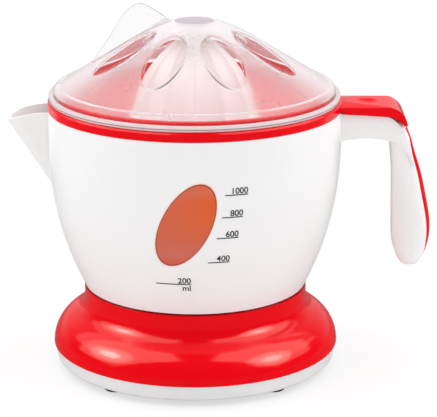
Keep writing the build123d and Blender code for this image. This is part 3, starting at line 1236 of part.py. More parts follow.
with BuildPart() as dust_cover:
    add(dome_outside)
    with Locations(level(COVER_BASE)):
        Cylinder(RIM_RADIUS - COVER_FLANGE_INSET, COVER_FLANGE_HEIGHT, align=MIDDLE_UP)
    flange_rims = dust_cover.edges().filter_by(GeomType.CIRCLE).sort_by(SortBy.RADIUS)[-2:]
    fillet(flange_rims, COVER_FLANGE_EDGE)
    with Locations((SPINDLE_X, 0, 0)):
        with PolarLocations(0, DENT_COUNT, start_angle=DENT_FIRST_ANGLE):
            add(dent_outside, mode=Mode.SUBTRACT)
    with BuildSketch(UPRIGHT):
        with BuildLine():
            fin_foot = COVER_BASE + COVER_CONE_RISE + (COVER_CONE_RADIUS - FIN_START) * tan(CONE_SLOPE)
            fin_points = [
                (-FIN_START + along * FIN_LENGTH, fin_foot + up * FIN_HEIGHT) for along, up in FIN_SHARES
            ]
            crest = Spline(*fin_points, tangents=FIN_END_SHARES)
            Polyline(crest @ 1, (-FIN_START + FIN_LENGTH, fin_foot), crest @ 0)
        make_face()
    extrude(amount=FIN_WALL / 2, both=True)
    add(cover_hollow.part, mode=Mode.SUBTRACT)
dust_cover.part.label = "dust_cover"
export_step(dust_cover.part, "parts/dust_cover.step")
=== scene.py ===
from math import cos, degrees, pi, radians, sin, sqrt, tan

import bmesh
import bpy
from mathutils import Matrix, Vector
from mathutils.bvhtree import BVHTree


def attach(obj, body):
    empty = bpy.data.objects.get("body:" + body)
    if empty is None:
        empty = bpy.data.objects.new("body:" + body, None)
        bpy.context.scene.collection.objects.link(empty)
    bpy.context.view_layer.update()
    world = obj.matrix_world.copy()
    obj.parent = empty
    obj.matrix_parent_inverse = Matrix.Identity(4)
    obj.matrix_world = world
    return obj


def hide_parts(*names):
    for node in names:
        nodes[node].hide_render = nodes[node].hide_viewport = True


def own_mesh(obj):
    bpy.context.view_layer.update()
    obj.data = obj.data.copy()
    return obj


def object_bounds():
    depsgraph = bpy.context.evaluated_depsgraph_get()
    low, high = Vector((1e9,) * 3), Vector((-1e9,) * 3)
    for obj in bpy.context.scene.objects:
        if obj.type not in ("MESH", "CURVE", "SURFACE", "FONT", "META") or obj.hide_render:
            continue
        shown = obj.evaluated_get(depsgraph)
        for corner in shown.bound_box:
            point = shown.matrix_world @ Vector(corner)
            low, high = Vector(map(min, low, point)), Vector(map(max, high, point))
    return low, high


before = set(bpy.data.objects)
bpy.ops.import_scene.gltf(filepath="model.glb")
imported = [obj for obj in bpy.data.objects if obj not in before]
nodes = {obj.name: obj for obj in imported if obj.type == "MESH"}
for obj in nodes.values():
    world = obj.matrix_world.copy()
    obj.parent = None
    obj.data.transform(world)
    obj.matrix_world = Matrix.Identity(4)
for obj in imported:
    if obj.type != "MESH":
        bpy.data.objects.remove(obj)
cad_low, cad_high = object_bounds()

# Sizes and places on the juicer are in millimetres, those of the studio in metres
MM = 0.001

# The spindle stands left of the middle of the model's box
SPINDLE_X = -14.2

# Outside of the jug: a cylinder down to its shoulder, then an arc that draws in
RIM_RADIUS = 82.0
JUG_SHOULDER = 128.0
JUG_BEND = 179.61


def linear(code):
    """Linear colour of an sRGB hex code."""
    channels = [int(code[start:start + 2], 16) / 255 for start in (0, 2, 4)]
    return tuple(c / 12.92 if c <= 0.04045 else ((c + 0.055) / 1.055) ** 2.4 for c in channels) + (1.0,)


def add_node(tree, kind, inputs=None, **settings):
    """Adds a node with its settings. An input is a value or the output socket that feeds it.

    A mix node takes its share at 0, and numbers at 2 and 3 or colours at 6 and 7.
    It gives the number at 0 or the colour at 2.
    """
    made = tree.nodes.new(kind)
    for name, value in settings.items():
        setattr(made, name, value)
    for name, value in (inputs or {}).items():
        if isinstance(value, bpy.types.NodeSocket):
            tree.links.new(value, made.inputs[name])
        else:
            made.inputs[name].default_value = value
    return made


def new_material(name):
    """Empty material with its output node."""
    material = bpy.data.materials.new(name)
    material.use_nodes = True
    tree = material.node_tree
    tree.nodes.clear()
    output = add_node(tree, "ShaderNodeOutputMaterial")
    return material, tree, output


# Flow marks and gloss patches of the plastics. Skin grains under 2 mm are drawn coarser than
# the real ones, which are too fine to show.
FLOW_MARK = 60.0
FLOW_STOPS = (0.35, 0.65)
GLOSS_PATCH = 9.0


def moulded(name, colours, roughness, spread, grain, grain_height, ior):
    """Moulded plastic: two close colours in slow flow marks, uneven gloss and a fine skin texture."""
    material, tree, output = new_material(name)
    place = add_node(tree, "ShaderNodeTexCoord").outputs["Object"]
    flow = add_node(
        tree, "ShaderNodeTexNoise", {"Vector": place, "Scale": 1 / (FLOW_MARK * MM), "Detail": 2.0},
    )
    tint = add_node(tree, "ShaderNodeValToRGB", {"Fac": flow.outputs["Fac"]}, name="tint")
    for element, stop, colour in zip(tint.color_ramp.elements, FLOW_STOPS, colours):
        element.position = stop
        element.color = linear(colour)
    gloss = add_node(
        tree, "ShaderNodeTexNoise", {"Vector": place, "Scale": 1 / (GLOSS_PATCH * MM), "Detail": 3.0},
    )
    uneven = add_node(
        tree, "ShaderNodeMapRange",
        {"Value": gloss.outputs["Fac"], "To Min": roughness - spread, "To Max": roughness + spread},
    )
    peel = add_node(
        tree, "ShaderNodeTexNoise", {"Vector": place, "Scale": 1 / (grain * MM), "Detail": 1.0},
    )
    skin = add_node(
        tree, "ShaderNodeBump",
        {"Height": peel.outputs["Fac"], "Strength": 1.0, "Distance": grain_height * MM},
    )
    surface = add_node(
        tree, "ShaderNodeBsdfPrincipled",
        {"Base Color": tint.outputs["Color"], "Roughness": uneven.outputs["Result"],
         "Normal": skin.outputs["Normal"], "IOR": ior},
        name="surface",
    )
    tree.links.new(surface.outputs["BSDF"], output.inputs["Surface"])
    return material


# Tool marks of the metals run along z. They are drawn coarser than real ones,
# which are too fine to show.
MARK_STRETCH = (1.0, 1.0, 0.1)
METAL_SPREAD = 0.08


def turned_metal(name, colours, roughness, mark):
    """Machined metal: tone and gloss vary along fine tool marks."""
    material, tree, output = new_material(name)
    place = add_node(tree, "ShaderNodeTexCoord").outputs["Object"]
    stretch = add_node(tree, "ShaderNodeMapping", {"Vector": place, "Scale": MARK_STRETCH})
    marks = add_node(
        tree, "ShaderNodeTexNoise",
        {"Vector": stretch.outputs["Vector"], "Scale": 1 / (mark * MM), "Detail": 4.0},
    )
    tint = add_node(tree, "ShaderNodeValToRGB", {"Fac": marks.outputs["Fac"]})
    for element, colour in zip(tint.color_ramp.elements, colours):
        element.color = linear(colour)
    uneven = add_node(
        tree, "ShaderNodeMapRange",
        {"Value": marks.outputs["Fac"],
         "To Min": roughness - METAL_SPREAD, "To Max": roughness + METAL_SPREAD},
    )
    surface = add_node(
        tree, "ShaderNodeBsdfPrincipled",
        {"Base Color": tint.outputs["Color"], "Roughness": uneven.outputs["Result"], "Metallic": 1.0},
    )
    tree.links.new(surface.outputs["BSDF"], output.inputs["Surface"])
    return material


# Plastics, by colours, roughness and its spread, skin grain and its height, and index of refraction
RED_POLISHED = (("e80110", "ee0213"), 0.13, 0.02, 3.0, 0.004, 1.31)
WHITE_POLISHED = (("f3f2f2", "f5f4f4"), 0.32, 0.04, 3.0, 0.004, 1.42)
# Moulded ABS in signal red, off a polished tool: deep colour under a mirror-like skin
red_abs = moulded("abs_red_polished", *RED_POLISHED)
# The same red ABS for the base, with painted shade: its colour darkens in the gap under the jug
base_abs = moulded("abs_red_polished_base", *RED_POLISHED)
# Moulded ABS in white, off a polished tool: soft wide highlights and a milky body
white_abs = moulded("abs_white_polished", *WHITE_POLISHED)
# The same white ABS for the jug, with a painted glow: it reddens round the window
jug_abs = moulded("abs_white_polished_jug", *WHITE_POLISHED)
# Moulded polypropylene in white, off a spark-eroded tool: a satin skin without clear reflections
white_satin = moulded("polypropylene_white_satin", ("eae9ea", "efeeef"), 0.42, 0.05, 0.9, 0.008, 1.49)
# Moulded nitrile rubber: matte black with a dry bloom
black_rubber = moulded("rubber_black_moulded", ("141414", "1c1c1b"), 0.7, 0.08, 1.2, 0.03, 1.52)
# Natural acetal for gears and spindle: waxy off-white
acetal = moulded("acetal_natural", ("dcd9cf", "e6e3da"), 0.38, 0.05, 1.5, 0.01, 1.48)
# Glass-filled nylon for the gear deck: dull dark grey with fibre specks
filled_nylon = moulded("nylon_glass_filled", ("2a2b2d", "37383a"), 0.55, 0.08, 0.8, 0.02, 1.53)
# Phenolic of the start switch: black and hard, half gloss
phenolic = moulded("phenolic_black", ("121212", "1b1b1b"), 0.4, 0.05, 1.0, 0.01, 1.6)
# Screen-printed ink of the volume scale: flat black
ink = moulded("ink_black_printed", ("16161a", "202024"), 0.55, 0.05, 0.6, 0.004, 1.5)

# Metals, by colours, roughness and tool mark.
# Bright drawn steel of pins, screws, spring and lever: pale grey and half bright
bright_steel = turned_metal("steel_bright_drawn", ("a8a9ab", "c6c7c9"), 0.3, 1.0)
# Laminated silicon steel of the motor core: dull dark grey
core_steel = turned_metal("silicon_steel_laminated", ("4c4d50", "66676a"), 0.5, 0.8)
# Enamelled copper winding: warm brown with a soft shine
copper_wire = turned_metal("copper_enamelled", ("9a4a24", "c46a36"), 0.35, 0.8)
# Sintered bronze of the bush: dull yellow brown
bronze = turned_metal("bronze_sintered", ("8a6a34", "a8843f"), 0.5, 0.5)
# Pressed ferrite of the rotor magnet: near black and dull
ferrite = turned_metal("ferrite_pressed", ("2b2b2d", "3a3a3c"), 0.55, 0.6)

# Moulded SAN of the cover: a frosted dome with polished dents, fin, foot and flange.
# The frosted skin scatters what lies under it into soft patches, the polished skin shows it sharp.
cover_san, cover_tree, cover_output = new_material("san_frosted_and_polished")
# Moulded SAN tinted orange, half see-through. Painted light and shade: its tone changes with height, a
# painted reflection makes it paler to the left, and painted shade makes it brown at its edge
window_san, window_tree, window_output = new_material("san_orange_tinted")

# Window in the jug's front: its middle across and up, half its length and width, and its lean
# to the right. The steps give how far a point of the front lies from its middle: 1 on its edge.
WINDOW_PLACE = (-18.1, 102.5)
WINDOW_HALVES = (25.6, 13.3)
WINDOW_LEAN = radians(26)
WINDOW_STEPS = (
    ("dx", "SUBTRACT", "x", WINDOW_PLACE[0] * MM), ("dz", "SUBTRACT", "z", WINDOW_PLACE[1] * MM),
    ("u1", "MULTIPLY", "dx", sin(WINDOW_LEAN) / (WINDOW_HALVES[0] * MM)),
    ("u2", "MULTIPLY", "dz", cos(WINDOW_LEAN) / (WINDOW_HALVES[0] * MM)),
    ("v1", "MULTIPLY", "dx", cos(WINDOW_LEAN) / (WINDOW_HALVES[1] * MM)),
    ("v2", "MULTIPLY", "dz", sin(WINDOW_LEAN) / (WINDOW_HALVES[1] * MM)),
    ("u", "ADD", "u1", "u2"), ("v", "SUBTRACT", "v1", "v2"),
    ("uu", "MULTIPLY", "u", "u"), ("vv", "MULTIPLY", "v", "v"),
    ("square", "ADD", "uu", "vv"), ("edge", "SQRT", "square"),
)
# Painted shade: a brown ring along the window's own edge
WINDOW_EDGE = 0.965
WINDOW_BROWN = 0.75
PANE_STEPS = (
    *WINDOW_STEPS,
    ("rim", "GREATER_THAN", "edge", WINDOW_EDGE), ("brown", "MULTIPLY", "rim", WINDOW_BROWN),
)
# Painted light: a pale red glow on the jug's moulded edge round the window, as from light that the
# tinted window lets through
TINGE_EDGE = 1.035
TINGE_SHARE = 0.8
JUG_STEPS = (
    *WINDOW_STEPS,
    ("front", "LESS_THAN", "y", 0.0), ("ring", "LESS_THAN", "edge", TINGE_EDGE),
    ("glow", "MULTIPLY", "front", "ring"), ("painted_tinge", "MULTIPLY", "glow", TINGE_SHARE),
)

# Zones of the cover: rises count from its base and radii from the spindle, and the turn is half
# the angle between two dents
COVER_BASE = 153.6
FLANGE_RISE = 3.4
FLANGE_RADIUS = 78.9
FLANGE_LINE_RISE = 1.5
FLANGE_LINE_HALF = 0.3
FOOT_RISE = 5.2
CONE_RISE = 8.4
CONE_RADIUS = 74.4
CONE_SLOPE = radians(32.3)
CONE_MARGIN = 0.3
DENT_PLACE = 41.0
DENT_HALVES = (22.0, 11.0)
DENT_TURN = radians(22.5)
FIN_HALF = 1.6
FIN_END = -9.0
CAP_RADIUS = 11.0
cone_top = CONE_RISE + CONE_RADIUS * tan(CONE_SLOPE) + CONE_MARGIN
COVER_STEPS = (
    ("dx", "SUBTRACT", "x", SPINDLE_X * MM), ("rise", "SUBTRACT", "z", COVER_BASE * MM),
    ("xx", "MULTIPLY", "dx", "dx"), ("yy", "MULTIPLY", "y", "y"),
    ("rr", "ADD", "xx", "yy"), ("radius", "SQRT", "rr"),
    # Dents: the turn is folded onto one dent
    ("turn", "ARCTAN2", "y", "dx"), ("shifted", "SUBTRACT", "turn", DENT_TURN),
    ("fold", "PINGPONG", "shifted", DENT_TURN),
    ("side", "SINE", "fold"), ("ahead", "COSINE", "fold"),
    ("across", "MULTIPLY", "radius", "side"), ("reach", "MULTIPLY", "radius", "ahead"),
    ("along", "SUBTRACT", "reach", DENT_PLACE * MM),
    ("u", "DIVIDE", "along", DENT_HALVES[0] * cos(CONE_SLOPE) * MM),
    ("v", "DIVIDE", "across", DENT_HALVES[1] * MM),
    ("uu", "MULTIPLY", "u", "u"), ("vv", "MULTIPLY", "v", "v"), ("square", "ADD", "uu", "vv"),
    ("dent", "LESS_THAN", "square", 1.0),
    # Foot, flange and a thin grey line round the flange
    ("foot", "LESS_THAN", "rise", FOOT_RISE * MM),
    ("low", "LESS_THAN", "rise", FLANGE_RISE * MM),
    ("wide", "GREATER_THAN", "radius", FLANGE_RADIUS * MM), ("flange", "MULTIPLY", "low", "wide"),
    ("off_line", "SUBTRACT", "rise", FLANGE_LINE_RISE * MM), ("by_line", "ABSOLUTE", "off_line"),
    ("thin_line", "LESS_THAN", "by_line", FLANGE_LINE_HALF * MM), ("flange_line", "MULTIPLY", "thin_line", "wide"),
    # Fin: the thin blade on the left that stands over the cone
    ("thin", "ABSOLUTE", "y"), ("in_fin", "LESS_THAN", "thin", FIN_HALF * MM),
    ("left", "LESS_THAN", "dx", FIN_END * MM),
    ("cone", "MULTIPLY", "radius", -tan(CONE_SLOPE)), ("cone_rise", "ADD", "cone", cone_top * MM),
    ("over", "GREATER_THAN", "rise", "cone_rise"),
    ("blade", "MULTIPLY", "in_fin", "left"), ("fin", "MULTIPLY", "blade", "over"),
    ("cap", "LESS_THAN", "radius", CAP_RADIUS * MM),
    ("polished", "MAXIMUM", "dent", "foot"), ("clear", "MAXIMUM", "polished", "fin"),
)

# Each step is a name, an operation and its operands, by name or as numbers
zones = {}
for material, steps in ((jug_abs, JUG_STEPS), (cover_san, COVER_STEPS), (window_san, PANE_STEPS)):
    tree = material.node_tree
    place = add_node(tree, "ShaderNodeTexCoord").outputs["Object"]
    parts = add_node(tree, "ShaderNodeSeparateXYZ", {"Vector": place}).outputs
    found = {"place": place, "x": parts["X"], "y": parts["Y"], "z": parts["Z"]}
    for name, operation, *operands in steps:
        inputs = {slot: found.get(operand, operand) for slot, operand in enumerate(operands)}
        found[name] = add_node(tree, "ShaderNodeMath", inputs, operation=operation).outputs[0]
    zones[material] = found

# Jug: the painted glow of its edge round the window
tree = jug_abs.node_tree
rim = add_node(
    tree, "ShaderNodeMix",
    {0: zones[jug_abs]["painted_tinge"], 6: tree.nodes["tint"].outputs["Color"], 7: linear("ffdcd2")},
    data_type="RGBA",
)
tree.links.new(rim.outputs[2], tree.nodes["surface"].inputs["Base Color"])

# Base: painted shade. Its colour darkens and its gloss dulls in the narrow gap under the jug's foot
# while the jug stands on it
GAP_REACH = 10.0
GAP_SAMPLES = 16
GAP_OPENNESS = (0.68, 0.96)
GAP_SHADE = 0.85
OPEN_SPECULAR = 0.5
tree = base_abs.node_tree
openness = add_node(
    tree, "ShaderNodeAmbientOcclusion", {"Distance": GAP_REACH * MM}, samples=GAP_SAMPLES,
)
gap = add_node(
    tree, "ShaderNodeMapRange",
    {"Value": openness.outputs["AO"], "From Min": GAP_OPENNESS[0], "From Max": GAP_OPENNESS[1],
     "To Min": GAP_SHADE, "To Max": 0.0},
    interpolation_type="SMOOTHSTEP",
)
shade = add_node(
    tree, "ShaderNodeMix",
    {0: gap.outputs["Result"], 6: tree.nodes["tint"].outputs["Color"], 7: linear("70000a")},
    data_type="RGBA",
)
# Painted shade: a dark red where the gap closes in
tree.links.new(shade.outputs[2], tree.nodes["surface"].inputs["Base Color"])
dull = add_node(tree, "ShaderNodeMix", {0: gap.outputs["Result"], 2: OPEN_SPECULAR, 3: 0.0})
tree.links.new(dull.outputs[0], tree.nodes["surface"].inputs["Specular IOR Level"])

# Cover: frosted skin lets less through where it slants and near the crown, polished skin nearly all,
# and the flange little
FROST_PATCH = 14.0
FROST_ROUGHNESS = (0.22, 0.3)
FROST_IOR = 1.12
FROST_SLANTS = (0.42, 0.8)
FROST_PASSING = (0.83, 0.3)
CROWN_RADII = (14.0, 38.0)
CROWN_SHARE = 0.5
POLISHED_ROUGHNESS = 0.04
POLISHED_IOR = 1.16
POLISHED_PASSING = 0.98
FLANGE_PASSING = 0.3
SLANT_BLEND = 0.5
OUTLINE_BLEND = 0.18
tree, found = cover_tree, zones[cover_san]
frost = add_node(
    tree, "ShaderNodeTexNoise",
    {"Vector": found["place"], "Scale": 1 / (FROST_PATCH * MM), "Detail": 2.0},
)
frost_gloss = add_node(
    tree, "ShaderNodeMapRange",
    {"Value": frost.outputs["Fac"], "To Min": FROST_ROUGHNESS[0], "To Max": FROST_ROUGHNESS[1]},
)
gloss = add_node(
    tree, "ShaderNodeMix",
    {0: found["clear"], 2: frost_gloss.outputs["Result"], 3: POLISHED_ROUGHNESS},
)
bend = add_node(tree, "ShaderNodeMix", {0: found["clear"], 2: FROST_IOR, 3: POLISHED_IOR})
slant = add_node(tree, "ShaderNodeLayerWeight", {"Blend": SLANT_BLEND}).outputs["Facing"]
veil = add_node(
    tree, "ShaderNodeMapRange",
    {"Value": slant, "From Min": FROST_SLANTS[0], "From Max": FROST_SLANTS[1],
     "To Min": FROST_PASSING[0], "To Max": FROST_PASSING[1]},
    interpolation_type="SMOOTHSTEP",
)
crown_veil = add_node(
    tree, "ShaderNodeMapRange",
    {"Value": found["radius"], "From Min": CROWN_RADII[0] * MM, "From Max": CROWN_RADII[1] * MM,
     "To Min": CROWN_SHARE, "To Max": 1.0},
)
frosted = add_node(
    tree, "ShaderNodeMath", {0: veil.outputs["Result"], 1: crown_veil.outputs["Result"]},
    operation="MULTIPLY",
)
passing = add_node(
    tree, "ShaderNodeMix", {0: found["clear"], 2: frosted.outputs[0], 3: POLISHED_PASSING},
)
ring = add_node(tree, "ShaderNodeMix", {0: found["flange"], 2: passing.outputs[0], 3: FLANGE_PASSING})
# Painted shade: the skin's colour greys towards its outlines, where it slants away from view, and greys
# most on the fin
edge = add_node(tree, "ShaderNodeLayerWeight", {"Blend": OUTLINE_BLEND}).outputs["Facing"]
outline = add_node(
    tree, "ShaderNodeMix", {0: found["fin"], 6: linear("d6ccd2"), 7: linear("857a86")},
    data_type="RGBA",
)
plain_skin = add_node(
    tree, "ShaderNodeMix", {0: found["clear"], 6: linear("f5f3f4"), 7: linear("fdfcfc")},
    data_type="RGBA",
)
skin = add_node(
    tree, "ShaderNodeMix", {0: edge, 6: plain_skin.outputs[2], 7: outline.outputs[2]},
    data_type="RGBA",
)
# Painted shade: the crown round the apex is greyer
crown = add_node(
    tree, "ShaderNodeMix", {0: found["cap"], 6: skin.outputs[2], 7: linear("c6bac2")},
    data_type="RGBA",
)
# A thin grey line round the flange
body = add_node(
    tree, "ShaderNodeMix", {0: found["flange_line"], 6: crown.outputs[2], 7: linear("a89ca6")},
    data_type="RGBA",
)
surface = add_node(
    tree, "ShaderNodeBsdfPrincipled",
    {"Base Color": body.outputs[2], "Roughness": gloss.outputs[0], "IOR": bend.outputs[0],
     "Transmission Weight": ring.outputs[0]},
)
tree.links.new(surface.outputs["BSDF"], cover_output.inputs["Surface"])

# Window: painted light and shade in its tones from its foot to its top, with a paler band of painted
# reflection near the top, and how far the painted reflection of the pale side reaches across it
WINDOW_RISE = 24.0
WINDOW_TONES = (
    (0.0, "ee5234"), (0.14, "dc7460"), (0.36, "e46a46"), (0.55, "ec6834"),
    (0.78, "f06226"), (0.84, "ee6a3c"), (0.9, "ec744e"), (1.0, "f06648"),
)
PALE_PLACES = (-1.0, 0.6)
PALE_SHARES = (0.5, 0.0)
WINDOW_CLOUD = 12.0
WINDOW_ROUGHNESS = (0.2, 0.28)
tree, found = window_tree, zones[window_san]
height = add_node(
    tree, "ShaderNodeMapRange",
    {"Value": found["dz"], "From Min": -WINDOW_RISE * MM, "From Max": WINDOW_RISE * MM},
)
painted_tones = add_node(tree, "ShaderNodeValToRGB", {"Fac": height.outputs["Result"]})
for stop, _ in WINDOW_TONES[1:-1]:
    painted_tones.color_ramp.elements.new(stop)
for element, (stop, code) in zip(painted_tones.color_ramp.elements, WINDOW_TONES):
    element.position = stop
    element.color = linear(code)
sideways = add_node(
    tree, "ShaderNodeMapRange",
    {"Value": found["v"], "From Min": PALE_PLACES[0], "From Max": PALE_PLACES[1],
     "To Min": PALE_SHARES[0], "To Max": PALE_SHARES[1]},
)
paler = add_node(
    tree, "ShaderNodeMix",
    {0: sideways.outputs["Result"], 6: painted_tones.outputs["Color"], 7: linear("d8705e")}, data_type="RGBA",
)
# Painted shade: the window's edge turns brown
tone = add_node(
    tree, "ShaderNodeMix", {0: found["brown"], 6: paler.outputs[2], 7: linear("8e4436")},
    data_type="RGBA",
)
cloud = add_node(
    tree, "ShaderNodeTexNoise",
    {"Vector": found["place"], "Scale": 1 / (WINDOW_CLOUD * MM), "Detail": 2.0},
)
gloss = add_node(
    tree, "ShaderNodeMapRange",
    {"Value": cloud.outputs["Fac"], "To Min": WINDOW_ROUGHNESS[0], "To Max": WINDOW_ROUGHNESS[1]},
)
surface = add_node(
    tree, "ShaderNodeBsdfPrincipled",
    {"Base Color": tone.outputs[2], "Roughness": gloss.outputs["Result"], "IOR": 1.45,
     "Transmission Weight": 0.12},
)
tree.links.new(surface.outputs["BSDF"], window_output.inputs["Surface"])

FINISHES = {
    base_abs: ("base_housing",),
    red_abs: ("strainer", "handle_back_strip", "switch_button"),
    jug_abs: ("jug",),
    white_abs: ("jug_floor", "jug_column", "reamer"),
    white_satin: ("base_plate",),
    black_rubber: ("foot_rear_right", "foot_front_right", "foot_front_left", "foot_rear_left",
                   "cord_gland"),
    acetal: ("output_gear", "compound_gear", "motor_pinion", "drive_spindle"),
    filled_nylon: ("gear_plate",),
    phenolic: ("micro_switch",),
    bright_steel: ("base_screws", "plate_screws", "compound_pin", "rotor_shaft", "rotor_bracket",
                   "spindle_spring", "switch_lever", "lever_pin"),
    core_steel: ("motor_core",),
    copper_wire: ("coil_front", "coil_rear"),
    bronze: ("spindle_bush",),
    ferrite: ("motor_rotor",),
    cover_san: ("dust_cover",),
    window_san: ("level_window",),
}
for finish, names in FINISHES.items():
    for name in names:
        mesh = nodes[name].data
        mesh.materials.clear()
        mesh.materials.append(finish)


def new_object(name, data):
    """Object of the scene from its mesh, curve, lamp or camera."""
    made = bpy.data.objects.new(name, data)
    bpy.context.scene.collection.objects.link(made)
    return made


def mesh_of(shape, name):
    """Mesh of a closed shape, with its faces turned outward."""
    bmesh.ops.recalc_face_normals(shape, faces=shape.faces)
    mesh = bpy.data.meshes.new(name)
    shape.to_mesh(mesh)
    shape.free()
    return mesh


# The return spring shortens as the spindle is pressed down: its shown copy keeps its foot in place
spring = new_object("spindle_spring_shown", nodes["spindle_spring"].data.copy())
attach(spring, "base")
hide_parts("spindle_spring")
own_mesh(spring)

# Printed volume scale: a line for each volume, by its height over the floor and the azimuths
# of its ends in degrees, with its digits on the right part of the line.
# The share is that of the digits' height in the size of the type.
PRINT_PROUD = 0.05
PRINT_FILM = 0.04
LINE_HEIGHT = 0.55
LINE_STEPS = 16
LINE_CORNERS = ((-1, 0), (1, 0), (1, 1), (-1, 1))
DIGIT_HEIGHT = 3.3
DIGIT_SHARE = 0.69
DIGIT_SWELL = 0.07
DIGIT_LIFT = 0.7
DIGIT_STEPS = 6
SCALE_LINES = (
    ("1000", 119.5, 11.8, 20.7),
    ("800", 107.1, 10.8, 19.0),
    ("600", 95.2, 9.0, 17.6),
    ("400", 80.9, 5.8, 14.7),
    ("200", 67.4, -16.4, -1.1),
)


def jug_radius(height):
    """Outside radius of the jug wall at a height over the floor."""
    fall = max(JUG_SHOULDER - height, 0)
    return RIM_RADIUS - JUG_BEND + sqrt(JUG_BEND**2 - fall**2)


def on_jug(azimuth, height, proud):
    """Point on the jug wall, in metres, at degrees from the front, positive to the right."""
    radius = jug_radius(height) + proud
    turn = radians(azimuth)
    return Vector((SPINDLE_X + radius * sin(turn), -radius * cos(turn), height)) * MM


def printed_line(name, height, start, end):
    """Thin bar of ink that follows the jug wall."""
    rows = []
    shape = bmesh.new()
    for step in range(LINE_STEPS + 1):
        azimuth = start + (end - start) * step / LINE_STEPS
        corners = [
            on_jug(azimuth, height + up * LINE_HEIGHT / 2, PRINT_PROUD + out * PRINT_FILM)
            for up, out in LINE_CORNERS
        ]
        rows.append([shape.verts.new(corner) for corner in corners])
    for first, second in zip(rows, rows[1:]):
        for side in range(len(LINE_CORNERS)):
            after = (side + 1) % len(LINE_CORNERS)
            shape.faces.new((first[side], first[after], second[after], second[side]))
    shape.faces.new(rows[0])
    shape.faces.new(list(reversed(rows[-1])))
    return mesh_of(shape, name)


def printed_word(name, text, height, right):
    """Word of ink that ends at an azimuth and stands at a height on the jug wall."""
    curve = bpy.data.curves.new(name + "_outline", "FONT")
    curve.body = text
    curve.size = DIGIT_HEIGHT / DIGIT_SHARE
    curve.align_x = "RIGHT"
    curve.resolution_u = DIGIT_STEPS
    curve.offset = DIGIT_SWELL
    curve.extrude = PRINT_FILM / 2
    stand_in = new_object(name + "_outline", curve)
    bpy.context.view_layer.update()
    flat = stand_in.evaluated_get(bpy.context.evaluated_depsgraph_get())
    mesh = bpy.data.meshes.new_from_object(flat)
    bpy.data.objects.remove(stand_in)
    bpy.data.curves.remove(curve)
    for vertex in mesh.vertices:
        across, up, out = vertex.co
        azimuth = right + degrees(across / jug_radius(height))
        vertex.co = on_jug(azimuth, height + up, PRINT_PROUD + PRINT_FILM / 2 + out)
    mesh.name = name
    return mesh


def add_print(name, mesh):
    """Puts a print on the jug."""
    mesh.materials.clear()
    mesh.materials.append(ink)
    piece = new_object(name, mesh)
    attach(piece, "jug")


for volume, height, start, end in SCALE_LINES:
    add_print(f"scale_line_{volume}", printed_line(f"scale_line_{volume}", height, start, end))
    digits = printed_word(f"scale_digits_{volume}", volume, height + DIGIT_LIFT, end)
    add_print(f"scale_digits_{volume}", digits)
_, last_height, _, last_end = SCALE_LINES[-1]
unit = printed_word("scale_unit", "ml", last_height - DIGIT_HEIGHT - DIGIT_LIFT, last_end)
add_print("scale_unit", unit)

# Red strip down the back of the handle: a thin skin that wraps round the grip's back to its sides,
# by height over the floor and half width there. Its outside stands proud of the grip, its inside
# lies sunk in it, and near the insert's gap it bridges over to the higher side.
STRIP_WIDTHS = ((138.4, 10.2), (120.0, 10.4), (104.0, 10.0), (88.0, 9.2), (72.0, 8.2), (65.0, 7.4))
STRIP_ROWS = 48
STRIP_COLUMNS = 20
STRIP_SKINS = (0.1, -0.4)
STRIP_BRIDGE = 0.4
RAY_LEAD = 20.0
points, faces = [], []
for name in ("jug", "handle_back_strip"):
    start = len(points)
    points += [vertex.co.copy() for vertex in nodes[name].data.vertices]
    faces += [[start + corner for corner in polygon.vertices] for polygon in nodes[name].data.polygons]
handle_surface = BVHTree.FromPolygons(points, faces)


def strip_half_width(height):
    """Half width of the strip at a height over the floor."""
    for (high, wide), (low, narrow) in zip(STRIP_WIDTHS, STRIP_WIDTHS[1:]):
        if height >= low:
            return narrow + (wide - narrow) * (height - low) / (high - low)
    return STRIP_WIDTHS[-1][1]


def handle_back(across, height):
    """Where the back of the handle lies, in metres to the right."""
    start = Vector((cad_high[0] + RAY_LEAD * MM, across * MM, height * MM))
    return handle_surface.ray_cast(start, Vector((-1.0, 0.0, 0.0)))[0].x


def strip_point(row, column, skin):
    """Point of the strip, off the back of the handle by the skin and within the model's box."""
    top, foot = STRIP_WIDTHS[0][0], STRIP_WIDTHS[-1][0]
    height = top + (foot - top) * row / STRIP_ROWS
    across = strip_half_width(height) * (2 * column / STRIP_COLUMNS - 1)
    back = max(handle_back(across + shift, height) for shift in (-STRIP_BRIDGE, 0.0, STRIP_BRIDGE))
    return Vector((min(back + skin * MM, cad_high[0]), across * MM, height * MM))


shape = bmesh.new()
outer, inner = [
    [[shape.verts.new(strip_point(row, column, skin)) for column in range(STRIP_COLUMNS + 1)]
     for row in range(STRIP_ROWS + 1)]
    for skin in STRIP_SKINS
]
for grid in (outer, inner):
    for first, second in zip(grid, grid[1:]):
        for column in range(STRIP_COLUMNS):
            shape.faces.new((first[column], first[column + 1], second[column + 1], second[column]))
border = [(row, 0) for row in range(STRIP_ROWS)]
border += [(STRIP_ROWS, column) for column in range(STRIP_COLUMNS)]
border += [(row, STRIP_COLUMNS) for row in range(STRIP_ROWS, 0, -1)]
border += [(0, column) for column in range(STRIP_COLUMNS, 0, -1)]
for (row, column), (next_row, next_column) in zip(border, border[1:] + border[:1]):
    shape.faces.new((outer[row][column], outer[next_row][next_column],
                     inner[next_row][next_column], inner[row][column]))
for face in shape.faces:
    face.smooth = True
strip = new_object("handle_strip_skin", mesh_of(shape, "handle_strip_skin"))
strip.data.materials.append(red_abs)
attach(strip, "jug")

